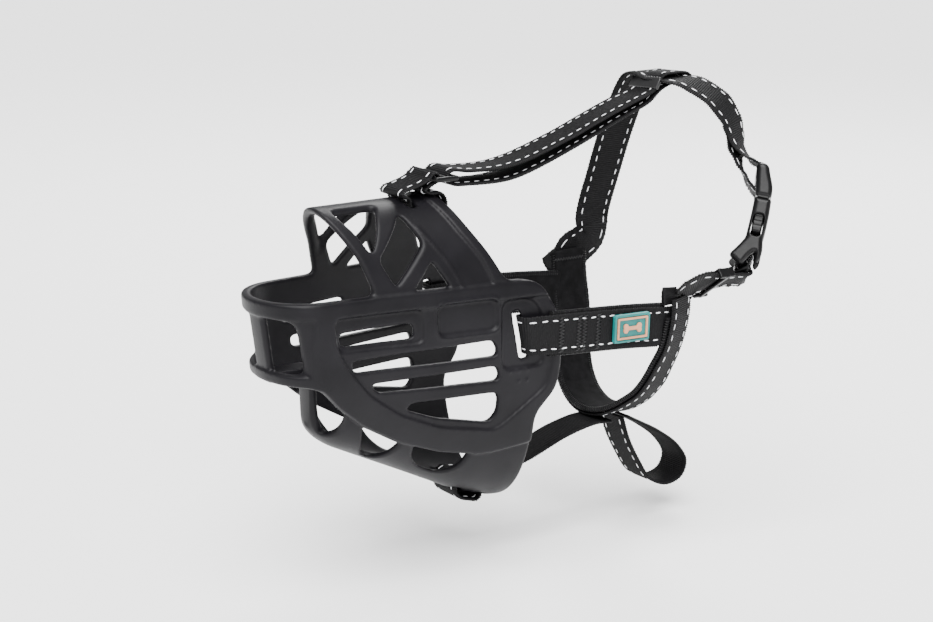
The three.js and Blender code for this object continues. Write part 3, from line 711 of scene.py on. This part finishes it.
def build_ribbon(name, node, track, material, body="muzzle", width=WEB_WIDTH, thick=WEB,
                 pitch=RIB_PITCH, rib=RIB_HEIGHT):
    """A woven strap with ribs across it and a thicker woven edge."""
    samples = max(int(track.length / pitch * POINTS_PER_RIB), 8)
    s = np.linspace(0, track.length, samples, endpoint=not track.closed)
    profile = EDGE_PROFILE + [(-a, -b) for a, b in EDGE_PROFILE]
    ridge = np.cos(2 * math.pi * s / pitch)
    rings = []
    for across, out in profile:
        selvedge = abs(across) > 0.4
        wander = 0.12 * np.cos(math.pi * s / pitch) * np.sign(across) * (abs(across) > 0.48)
        height = out * (thick / 2 - rib) + rib * ridge * (1.6 if selvedge else 1.0) * np.sign(out)
        rings.append(track.place(s, across * width + wander, height))
    points = np.stack(rings, axis=1).reshape(-1, 3)
    count = len(profile)
    index = np.arange(samples * count).reshape(samples, count)
    ends = [] if track.closed else [index[0].tolist(), index[-1][::-1].tolist()]
    index = np.concatenate([index, index[:1]]) if track.closed else index
    beside = np.roll(index, -1, axis=1)
    faces = np.stack([index[:-1], index[1:], beside[1:], beside[:-1]], axis=-1).reshape(-1, 4)
    faces = faces.tolist() + ends
    strap = mesh_object(name, points, faces, material, body)
    if node:
        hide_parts(node)
    across = np.array([a * width for a, _ in profile])
    place = np.stack([np.repeat(s, count), np.tile(across, samples)], axis=1) * MM
    corner = np.zeros(len(strap.data.loops), int)
    strap.data.loops.foreach_get("vertex_index", corner)
    uv = strap.data.uv_layers.new(name="strap")
    uv.data.foreach_set("uv", place[corner].astype(np.float32).ravel())
    return strap


def sew(name, track, starts, ends, material, body="muzzle", radius=STITCH_RADIUS,
        flat=THREAD_FLATNESS, segments=3, sides=5):
    """Short stitches, thickest in the middle. An end is (length along, distance across, distance out)."""
    points, faces = [], []
    angles = np.linspace(0, 2 * math.pi, sides, endpoint=False)
    share = np.linspace(0, 1, segments)
    swell = radius * (0.25 + 0.75 * np.sin(math.pi * np.clip(share, 0.04, 0.96)) ** 0.4)
    ring = np.arange(sides)
    after = np.roll(ring, -1)
    for start, end in zip(np.array(starts), np.array(ends)):
        path = start + share[:, None] * (end - start)
        centre = track.place(path[:, 0], path[:, 1], path[:, 2])
        _, width, up = track.at(path[:, 0])
        travel = unit(centre[-1] - centre[0])
        outward = width if abs(up[0].dot(travel)) > 0.9 else up
        sideways = np.cross(outward, travel)
        sideways /= np.linalg.norm(sideways, axis=1)[:, None]
        base = len(points) * sides * segments
        ring_x = np.cos(angles)[None, :, None] * sideways[:, None]
        ring_y = flat * np.sin(angles)[None, :, None] * outward[:, None]
        points.append(centre[:, None] + swell[:, None, None] * (ring_x + ring_y))
        for a in base + sides * np.arange(segments - 1):
            faces += np.stack([a + ring, a + after, a + sides + after, a + sides + ring], axis=1).tolist()
        faces.append((base + ring[::-1]).tolist())
        faces.append((base + sides * (segments - 1) + ring).tolist())
    points = np.concatenate(points).reshape(-1, 3)
    return mesh_object(name, points, faces, material, body)


def build_dashes(name, track, material, body="muzzle", sides=(1, -1), begin=STITCH_START):
    """Two rows of reflective stitches on the faces of a strap."""
    places = np.arange(begin, track.length - STITCH_START - STITCH_LENGTH, STITCH_PITCH)
    out = WEB / 2 + 0.02
    starts, ends = [], []
    for row in (-STITCH_ROW, STITCH_ROW):
        for side in sides:
            for k, s in enumerate(places):
                lean = 0.12 * math.sin(3.7 * k + row)
                starts.append((s, row + lean, side * out))
                ends.append((s + STITCH_LENGTH, row - lean, side * out))
    return sew(name, track, starts, ends, material, body, flat=STITCH_FLATNESS, segments=7,
               sides=6)


def build_tacks(name, track, places, material, spread=1.3, side=1, half=WEB / 2):
    """Zigzag bar tacks across one face of a strap, at these lengths along it."""
    across = np.arange(-TACK_REACH, TACK_REACH, TACK_PITCH)
    swing = np.where(np.arange(len(across)) % 2, spread, -spread)
    starts, ends = [], []
    for s in places:
        rows = np.stack([s + swing, across, np.full(len(across), side * (half + 0.06))], axis=1)
        starts += list(rows[:-1])
        ends += list(rows[1:])
    sew(name, track, starts, ends, material)


def build_overlock(name, track, material):
    """Thread wrapped over both long edges of a pad: down one face, round the edge and up the other."""
    edge = LINING_WIDTH / 2 + 0.15
    face = LINING / 2 + 0.12
    starts, ends = [], []
    for s in np.arange(1, track.length - 2, OVERLOCK_PITCH):
        for side in (1, -1):
            inner = side * (edge - OVERLOCK_BITE)
            outer = side * edge
            corners = [
                (s, inner, face), (s + 0.5, outer, 0.6), (s + 0.5, outer, -0.6), (s + 1.1, inner, -face),
            ]
            starts += corners[:-1]
            ends += corners[1:]
    sew(name, track, starts, ends, material, radius=OVERLOCK_RADIUS)


# Routes of the straps. Each row is a point of the middle, then the direction of the strap's width there.
def in_middle(points):
    """A route in the middle plane, from its (y, z) points."""
    return [(0, y, z, 1, 0, 0) for y, z in points]


SLANT = (0, -0.2, 0.98)
CHEEK = [
    (41.0, 33, 12, 0, 0, 1), (38.8, 22, 12, 0, 0, 1), (37.0, 12, 12.5, 0, -0.1, 1), (36.0, 4, 13, *SLANT),
    (36.8, 0.4, 13, *SLANT), (40.5, -0.6, 13, *SLANT), (43.6, 0.9, 13, *SLANT), (44.8, 5, 13, *SLANT),
    (45.6, 14, 12.5, 0, -0.1, 1), (46.0, 24, 12, 0, 0, 1), (45.2, 34, 11.1, 0, 0, 1),
    (45.0, 58, 9.4, 0, 0, 1), (44.6, 79.5, 7.2, 0, 0, 1), (44, 86.5, 6.8, 0, 0, 1),
]
CHEEK_LINING = [
    (43.3, 12, 12.6, 0, -0.1, 1), (43.9, 23, 12, 0, 0, 1), (43.1, 33, 11.2, 0, 0, 1),
    (42.6, 58, 9.4, 0, 0, 1), (42.2, 80, 7.2, 0, 0, 1),
]
CHEEK_TACKS = (57, 67, 70.5, 79)
CHEEK_FACE = 1  # the left strap's outer face, the right one's is -1
THROAT = [
    (45, 90, 20.2, -0.42, 0.9, 0), (44.8, 89.8, 10, -0.42, 0.9, 0), (43, 88, -3, -0.42, 0.9, 0),
    (38, 85.5, -16, -0.36, 0.93, 0), (30, 84, -29, -0.28, 0.95, 0), (19, 81.5, -39, -0.12, 0.99, 0),
    (8, 79.5, -45, 0, 1, 0), (-6, 78.5, -47, 0, 1, 0), (-20, 80, -43.5, 0.06, 1, 0),
    (-31, 82.5, -35, 0.1, 1, 0), (-38, 85, -21, 0.12, 1, 0), (-42, 87.5, -2, 0.14, 1, 0),
    (-44.8, 87.2, 15, 0.12, 1, 0), (-45.2, 86.8, 27.6, 0.1, 1, 0),
]
THROAT_LINING_GAP = -2.4
CHIN = in_middle([
    (76, -49.3), (66, -48.8), (50, -51.8), (24, -60.5), (8, -63.4), (-8, -62), (-14.5, -61.2),
    (-17.2, -63.5), (-17.2, -69), (-14.5, -72.2), (-10, -73.8), (-5.2, -74.8), (-3.2, -73),
    (-2.9, -69.6), (-1.2, -66.2), (5, -66), (12, -67.2),
])
COLLAR = in_middle([
    (83.6, -48.7), (87.3, -60), (94, -72.5), (102, -84), (113, -89), (122.5, -86.5), (125.5, -79),
    (119.5, -69.5), (108, -60.5), (95, -53), (87, -48.7),
])
TOP_LOOP = in_middle([
    (-34, 68.3), (-39.3, 69), (-41.8, 73), (-42.4, 76.4), (-44.6, 77.6), (-46.5, 78.6), (-45.4, 80.2),
    (-41, 81.4), (-35.5, 83), (-31.6, 85), (-28.6, 87.3), (-26, 84.5), (-30.4, 82), (-34, 79.6),
    (-31, 78), (-26, 77.9), (-23.2, 75.5), (-22.6, 71), (-26.5, 68.2),
])
FOREHEAD = [
    (0, -19.4, 81.5, 1, 0, 0), (0, -22, 84.5, 1, 0, 0), (0, -19.4, 87.5, 1, 0, 0), (0, -9, 86.4, 1, 0, 0),
    (0, 14, 86.5, 1, 0, 0), (-2, 49, 95.5, 1, 0, 0.02), (-4, 79, 105.8, 1, 0, 0.02),
    (-5.5, 91, 109.4, 1, 0, 0.02), (-6.5, 101, 112.2, 1, 0, 0.04), (-7, 106, 114.4, 1, 0, 0.06),
    (-7.2, 108.6, 117.6, 1, 0, 0.08),
    (-7.4, 111.6, 120.2, 1, 0, 0.08), (-7.7, 119, 121, 1, 0, 0.06), (-8, 126.6, 120.6, 1, 0, 0.05),
    (-8, 129, 118.8, 1, 0, 0.05), (-8, 126.6, 117, 1, 0, 0.05), (-8, 118, 116.6, 1, 0, 0.05),
    (-7.4, 110, 114, 1, 0, 0.05), (-6.8, 102, 108.6, 1, 0, 0.03), (-5.5, 91, 105, 1, 0, 0.02),
    (-4, 79, 101, 1, 0, 0.02), (-2, 49, 90, 1, 0, 0.02), (0, 14, 80.4, 1, 0, 0), (0, -9, 80.2, 1, 0, 0),
]
KEEPER = [
    (-18.2, 107.4, 116.4, -0.03, 0.5, 0.87), (-7.2, 107, 116.9, 0, 0.5, 0.87),
    (3.6, 107, 117.5, 0.03, 0.5, 0.87),
]
LEFT_TAB = [
    (45.3, 83, 17.4, 0, 1, 0), (45.3, 82.8, 23, 0, 1, -0.1), (44.5, 82.8, 25.6, 0, 1, -0.1),
    (43.7, 82.8, 23, 0, 1, -0.1), (43.7, 83, 17.4, 0, 1, 0),
]
RIGHT_TAB = [
    (-45, 80, 19.1, 0, 0.84, 0.54), (-45, 76.5, 24.5, 0, 0.84, 0.54), (-44.2, 75.5, 26.9, 0, 0.84, 0.54),
    (-43.4, 76.5, 24.5, 0, 0.84, 0.54), (-43.4, 80, 19.1, 0, 0.84, 0.54),
]


# -------- buckle

# Its own x is across the strap, y is inward and z is up from the seam between its halves.
BUCKLE_UP = unit((-0.16, 0.376, 0.913))
BUCKLE_WIDE = np.array((-0.71, 0.599, -0.372))
BUCKLE_WIDE = unit(BUCKLE_WIDE - BUCKLE_UP * BUCKLE_WIDE.dot(BUCKLE_UP))
BUCKLE_IN = np.cross(BUCKLE_UP, BUCKLE_WIDE)
SEAM = np.array((40.5, 144, 60.0))
MALE_TILT = math.radians(20)
TAIL_TILT = math.radians(15)
CORE_LENGTH = 20.0
BUCKLE_HALF = 13.5
MALE_SIDE = [
    (-4.0, 0.3), (-3.9, 5), (-2.8, 8.6), (-1.2, 12.1), (-0.1, 15.6), (1.9, 17.2), (4.7, 17),
    (6.4, 15.2), (5.4, 8.4), (4.5, 3), (4.1, 0.3),
]
SOCKET_SIDE = [
    (-4.3, 0), (-4.7, -7.3), (-4.7, -15.1), (-4.3, -20.8), (-5.2, -26), (-5, -30), (-3.4, -32.6),
    (-1.9, -31.2), (-1.5, -27), (0.6, -29.5), (3.2, -34.4), (5.2, -34.8), (9.9, -31.8), (10.3, -30),
    (7, -25.2), (4.4, -20.8), (4.1, -8.7), (4.1, 0),
]
ARM_FACE = [
    (7.6, -0.4), (10.6, -0.4), (11.2, -8), (11.3, -16.5), (9.6, -18.6), (7.6, -18.6), (6.8, -14),
    (6.6, -9),
]
MALE_BOX = ((-15, -7, -18), (15, 9, 20))
SOCKET_BOX = ((-15, -7, -36), (15, 12, 1.5))
ARM_BOX = ((5, -4, -20), (13, 4, 1))


def at_buckle(x, y, z):
    return SEAM + BUCKLE_WIDE * x + BUCKLE_IN * y + BUCKLE_UP * z


def by_male(inward, along):
    """A point of the head strap's route in the tilted head of the buckle's male half."""
    y = math.sin(MALE_TILT) * along + math.cos(MALE_TILT) * inward
    z = math.cos(MALE_TILT) * along - math.sin(MALE_TILT) * inward
    return (*at_buckle(0, y, z), *BUCKLE_WIDE)


def by_tail(inward, along):
    """A point of the short strap's route in the tilted tail of the buckle's socket."""
    y = math.sin(TAIL_TILT) * along + math.cos(TAIL_TILT) * inward
    z = -CORE_LENGTH - math.cos(TAIL_TILT) * along + math.sin(TAIL_TILT) * inward
    return (*at_buckle(0, y, z), *(-BUCKLE_WIDE))


HEAD = [
    (-46, 87.5, 18, 0, 1, 0), (-46.4, 90.6, 25, 0, 1, 0), (-46.8, 97.5, 28.5, 0, 1, 0),
    (-46.8, 103.5, 32.5, 0, 1, 0), (-46.5, 105, 38, 0, 1, -0.1), (-46, 104.6, 44, 0.1, 1, 0),
    (-44.6, 105.8, 53, 0.1, 1, -0.1), (-43, 108, 63, 0.1, 1, -0.1),
    (-40.8, 110, 74, 0.1, 1, -0.2), (-38, 112, 86, 0.1, 1, -0.2), (-34.5, 114, 98, 0.1, 1, -0.2),
    (-30, 115, 109, 0.1, 1, -0.1), (-24.5, 115, 117.3, 0, 1, -0.1), (-17.5, 115, 120.8, 0, 1, 0),
    (-7, 116, 118.8, 0, 1, 0), (3, 118.3, 118.8, 0, 1, 0.03), (11, 122.5, 117.2, -0.1, 1, 0.05),
    (21, 130, 110, -0.25, 1, 0.05), (25.5, 135.6, 100, -0.36, 0.93, 0),
    (27.5, 137.4, 92, -0.45, 0.9, -0.05), (29.8, 140, 84.5, -0.6, 0.75, -0.15),
    (33, 144, 79.5, -0.72, 0.6, -0.25), by_male(-2.6, 17), by_male(-2.7, 9), by_male(-2.4, 5.2),
    by_male(0, 3.6), by_male(2.6, 5), by_male(5, 9.5),
    (32.2, 139.4, 73, -0.7, 0.62, -0.3), (29.8, 137.4, 79.5, -0.6, 0.75, -0.15),
    (27.4, 137.2, 86, -0.45, 0.88, -0.05),
    (26, 137.4, 92, -0.45, 0.9, -0.05), (24.6, 136.8, 98, -0.36, 0.93, 0),
]
SHORT = [
    (44.8, 86, 22.2, 0.85, -0.05, 0.5), (46.6, 90.5, 23.6, 0.72, -0.1, 0.68),
    (48.2, 96, 25.2, 0.62, -0.25, 0.74), (47.8, 100, 25.6, 0.68, -0.18, 0.7),
    (46.7, 104, 25.1, 0.78, -0.05, 0.62), (46.1, 108.5, 24.9, 0.82, 0, 0.57),
    (46, 114, 24.7, 0.84, -0.05, 0.52), (46, 120, 24.7, 0.83, -0.2, 0.48),
    by_tail(-4.2, 18), by_tail(-3.1, 13), by_tail(-2.8, 8.7), by_tail(-0.2, 6.3), by_tail(2.8, 8.7),
    by_tail(3.1, 13.4), by_tail(0.6, 18.4), (44.4, 121, 27.6, 0.88, 0, 0.47),
]


def hard_piece(name, node, box, grid, field, axes, origin, material, body="muzzle"):
    """A moulded piece from a field over its own x, y, z, placed along three directions."""
    grid = grid
    xs, ys, zs = grid_axes(*box, grid)
    x, y, z = np.meshgrid(xs, ys, zs, indexing="ij")
    points, faces = surface(field(x, y, z), (xs[0], ys[0], zs[0]), grid, 2)
    points = np.array(origin) + points @ np.array(axes)
    piece = mesh_object(name, points, faces, material, body)
    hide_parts(node)


def turned_about(y, z, angle, start):
    """Coordinates across and along a part of the buckle that is tilted by angle from z = start."""
    across = math.cos(angle) * y - math.sin(angle) * (z - start)
    along = math.sin(angle) * y + math.cos(angle) * (z - start)
    return across, along


def male_field(x, y, z):
    """The half with the prong: a tilted head with the head strap's slot, and a collar at the seam."""
    side = outline_distance(y, z, rounded(MALE_SIDE, 1.6))
    body = both(side, np.abs(x) - BUCKLE_HALF, 2.6)
    across, along = turned_about(y, z, MALE_TILT, 0)
    slot = np.maximum(np.abs(x) - 11, np.abs(along - 5) - 2.6)
    body = cut(body, slot, 0.6)
    thin = np.maximum(np.abs(x) - 11, np.maximum(7 - along, 1.4 - np.abs(across)))
    body = cut(body, thin, 0.5)
    prong = rounded_box(x, y, z, (0, 0, -8), (3, 1.3, 8.5), 0.6)
    collar = rounded_box(x, y, z, (0, 0, 0.4), (12.6, 3.0, 0.6), 0.3)
    return join(np.minimum(body, collar), prong, 0.4)


def arm_field(x, y, z):
    """A springy arm with three grip grooves."""
    shape = outline_distance(x, z, rounded(ARM_FACE, 0.8))
    body = both(shape, np.abs(y) - 2.55, 0.9)
    for k in range(3):
        groove = np.hypot(x - 11.6, z + 9.5 + 2.2 * k) - 0.55
        body = cut(body, groove, 0.2)
    return body


def socket_field(x, y, z):
    """The half with the mouth, the side windows and the tilted tail that holds the short strap."""
    side = outline_distance(y, z, rounded(SOCKET_SIDE, 1.3))
    body = both(side, np.abs(x) - BUCKLE_HALF, 2.6)
    mouth = rounded_box(x, y, z, (0, 0, -9.4), (11.7, 2.7, 10.5), 0.6)
    body = cut(body, np.maximum(mouth, -z - 19.9), 0.4)
    window = rounded_box(x, y, z, (0, 0, -13.8), (16, 2.8, 5.8), 2.4)
    body = cut(body, window, 0.5)
    across, along = turned_about(y, z, -TAIL_TILT, -CORE_LENGTH)
    slot = np.maximum(np.abs(x) - 11, np.abs(along + 6.2) - 2.8)
    body = cut(body, slot, 0.6)
    thin = np.maximum(np.abs(x) - 11, np.maximum(along + 7.5, 1.8 - np.abs(across)))
    body = cut(body, thin, 0.5)
    # A shallow thumb dish on the outer face.
    dish = np.hypot(x / 1.5, z + 9) - 4.5
    body = cut(body, np.maximum(dish, y + 4.35), 0.3)
    return body


def build_buckle(material):
    axes = (BUCKLE_WIDE, BUCKLE_IN, BUCKLE_UP)
    turned = (-BUCKLE_WIDE, -BUCKLE_IN, BUCKLE_UP)
    for name, node, box, grid, field, directions, body in (
        ("buckle_male_half", "buckle_male", MALE_BOX, 0.3, male_field, axes, "muzzle"),
        ("buckle_socket_half", "buckle_female", SOCKET_BOX, 0.3, socket_field, axes, "buckle_socket"),
        ("buckle_arm_near", "buckle_arm_a", ARM_BOX, 0.2, arm_field, axes, "buckle_arm_left"),
        ("buckle_arm_far", "buckle_arm_b", ARM_BOX, 0.2, arm_field, turned, "buckle_arm_right"),
    ):
        hard_piece(name, node, box, grid, field, directions, SEAM, material, body=body)


# -------- glides and label

GLIDE_BOX = ((-14.5, -8, -2.4), (14.5, 8, 2.4))
SHORT_GLIDE_BOX = ((-14.5, -7, -4), (14.5, 7, 4))
PATCH_BOX = ((-13, -9, -1), (13, 9, 4))
BORDER_BOX = ((-11, -7, -1), (11, 7, 1.4))
BONE_BOX = ((-7, -4, -1), (7, 4, 1.4))


def forehead_glide_field(x, y, z):
    """A flat frame with a bar across its middle."""
    body = rounded_box(x, y, z, (0, 0, 0), (13, 6.4, 1.2), 0.9)
    for middle in (-2.7, 2.7):
        body = cut(body, rounded_box(x, y, z, (0, middle, 0), (10.9, 1.75, 4), 0.7), 0.5)
    return body


def short_glide_field(x, y, z):
    """Two cheeks, with two bars over the strap and one under it."""
    left = rounded_box(x, y, z, (-12, 0, 0), (1, 4.7, 2.5), 0.8)
    right = rounded_box(x, y, z, (12, 0, 0), (1, 4.7, 2.5), 0.8)
    body = np.minimum(left, right)
    for middle, height in ((-3.7, 1.8), (3.7, 1.8), (0, -1.8)):
        body = join(body, rounded_box(x, y, z, (0, middle, height), (13, 1.1, 0.85), 0.6), 0.4)
    return body


def build_glides(material):
    hard_piece("forehead_slider", "forehead_glide", GLIDE_BOX, 0.25, forehead_glide_field, np.eye(3),
               (0, -24, 84.5), material)
    wide = unit((0.82, 0, 0.57))
    along = unit((-0.2, 7, -0.2))
    up = unit(np.cross(wide, along))
    hard_piece("short_strap_slider", "short_glide", SHORT_GLIDE_BOX, 0.25, short_glide_field,
               (wide, along, up), (46.1, 108.5, 24.9), material, body="strap_glide")


def rounded_rectangle(half_x, half_y, radius):
    corners = [(-half_x, -half_y), (half_x, -half_y), (half_x, half_y), (-half_x, half_y)]
    return rounded(corners, radius)


def patch_field(x, y, z):
    """The label's base plate with a raised rim."""
    outer = outline_distance(x, y, rounded_rectangle(10.6, 6.9, 1.3))
    inner = outline_distance(x, y, rounded_rectangle(9.3, 5.5, 0.8))
    base = both(outer, np.abs(z - 0.9) - 0.9, 0.5)
    rim = both(np.maximum(outer + 0.15, -inner), np.abs(z - 1.4) - 1.0, 0.3)
    return join(base, rim, 0.2)


def label_frame_field(x, y, z):
    outer = outline_distance(x, y, rounded_rectangle(9.0, 5.2, 0.5))
    inner = outline_distance(x, y, rounded_rectangle(8.0, 4.2, 0.3))
    return both(np.maximum(outer, -inner), np.abs(z - 0.15) - 0.55, 0.25)


def bone_field(x, y, z):
    """A plain bone: a bar with two knobs at each end."""
    flat = rounded_box(x, y, z * 0, (0, 0, 0), (4, 0.9, 5), 0.3)
    for kx in (-4, 4):
        for ky in (-1, 1):
            flat = join(flat, np.hypot(x - kx, y - ky) - 1.35, 0.5)
    return both(flat, np.abs(z - 0.15) - 0.55, 0.3)


def build_label(teal, cream):
    axes = (unit((0, 0.999, -0.035)), unit((0, 0.035, 0.999)), (1, 0, 0))
    base = np.array((46.1, 57.5, 10))
    raised = base + np.array((2.1, 0, 0))
    hard_piece("label_base", "label_patch", PATCH_BOX, 0.2, patch_field, axes, base, teal)
    hard_piece("label_border", "label_frame", BORDER_BOX, 0.16, label_frame_field, axes, raised, cream)
    hard_piece("label_bone_relief", "label_bone", BONE_BOX, 0.14, bone_field, axes, raised, cream)


# -------- harness

def other_side(route):
    """The mirror image of a route."""
    return [(-x, y, z, -ax, ay, az) for x, y, z, ax, ay, az in route]


def layer_under(route, distance):
    """The same route moved sideways along its own face."""
    points = np.array(route, float)
    moved = points.copy()
    for i in range(len(points)):
        along = points[min(i + 1, len(points) - 1), :3] - points[max(i - 1, 0), :3]
        up = unit(np.cross(unit(along), points[i, 3:]))
        moved[i, :3] += up * distance
    return moved


def build_strap(name, node, route, looks, closed=False, seed=0.0, body="muzzle", width=WEB_WIDTH, **rows):
    """A strap and its reflective stitches. rows says which faces they are on and where they begin."""
    track = Track(route, closed, seed)
    build_ribbon(name, node, track, looks["webbing"], body, width)
    build_dashes(name + "_stitches", track, looks["reflective"], body, **rows)
    return track


def build_lining(name, node, route, looks, seed):
    """A soft pad with overlocked edges."""
    track = Track(route, seed=seed)
    pad = build_ribbon(name, node, track, looks["neoprene"], width=LINING_WIDTH, thick=LINING,
                       pitch=1.5, rib=0.0)
    build_overlock(name + "_overlock", track, looks["thread"])
    return track


def build_harness(looks):
    left = build_strap("left_cheek_webbing", "left_cheek_strap", CHEEK, looks, seed=0.4,
                       width=CHEEK_WIDTH)
    right = build_strap("right_cheek_webbing", "right_cheek_strap", other_side(CHEEK), looks, seed=1.7,
                        width=CHEEK_WIDTH)
    build_tacks("left_cheek_tacks", left, CHEEK_TACKS, looks["thread"], side=CHEEK_FACE)
    build_tacks("right_cheek_tacks", right, CHEEK_TACKS, looks["thread"], side=-CHEEK_FACE)
    build_lining("left_cheek_pad", "left_cheek_lining", CHEEK_LINING, looks, 0.9)
    build_lining("right_cheek_pad", "right_cheek_lining", other_side(CHEEK_LINING), looks, 2.2)
    build_strap("throat_webbing", "throat_strap", THROAT, looks, seed=2.9)
    inside_throat = layer_under(THROAT[1:], THROAT_LINING_GAP)
    inner = build_lining("throat_pad", "throat_lining", inside_throat, looks, 0.2)
    build_tacks("throat_pad_tacks", inner, (inner.length - 4,), looks["thread"], side=-1, spread=0.8,
                half=LINING / 2)
    build_strap("chin_webbing", "chin_strap", CHIN, looks, seed=3.3, begin=70)
    build_strap("collar_webbing", "collar_loop", COLLAR, looks, body="collar_tail", seed=4.1, sides=(1,))
    build_strap("head_webbing", "head_strap", HEAD, looks, seed=5.0)
    build_strap("top_webbing", "top_loop", TOP_LOOP, looks, closed=True, seed=5.9)
    build_strap("forehead_webbing", "forehead_strap", FOREHEAD, looks, closed=True, seed=6.6)
    build_ribbon("forehead_keeper", None, Track(KEEPER), looks["satin"], width=6.4, thick=1.7,
                 rib=0.0)
    build_short_strap(looks)
    for name, node, route, seed in (
        ("left_tab", "left_junction_tab", LEFT_TAB, 0.3),
        ("right_tab", "right_junction_tab", RIGHT_TAB, 1.1),
    ):
        track = Track(route, seed=seed)
        build_ribbon(name, node, track, looks["webbing"], width=8.6, thick=0.9, rib=0.05)


def build_short_strap(looks):
    """The short strap and its stitches, tied to no body, with their transforms baked into their points.
    """
    track = Track(SHORT, seed=7.2)
    strap = build_ribbon("short_webbing", "short_strap", track, looks["webbing"], body=None)
    dashes = build_dashes("short_webbing_stitches", track, looks["reflective"], body=None)
    for piece in (strap, dashes):
        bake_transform(piece)


def main():
    looks = {
        "rubber": rubber_material(),
        "webbing": webbing_material(),
        "neoprene": neoprene_material(),
        "reflective": reflective_thread_material(),
        "thread": sewing_thread_material(),
        "plastic": plastic_material(),
        "satin": satin_material(),
        "teal": soft_colour_material("teal_rubber", (0.0, 0.12, 0.114), (0.0, 0.155, 0.147)),
        "cream": soft_colour_material("cream_rubber", (0.46, 0.2, 0.11), (0.54, 0.26, 0.15)),
    }
    add_camera()
    add_stage(CAD_BOX[0][2] - FLOOR_GAP)
    add_sun()
    add_light("side_light", (1.1, -0.6, 0.75), 0.6, SIDE_LIGHT_POWER)
    add_light("back_light", (-0.7, 0.8, 0.9), 0.7, BACK_LIGHT_POWER)
    build_basket(looks["rubber"])
    build_harness(looks)
    build_buckle(looks["plastic"])
    build_glides(looks["plastic"])
    build_label(looks["teal"], looks["cream"])


main()
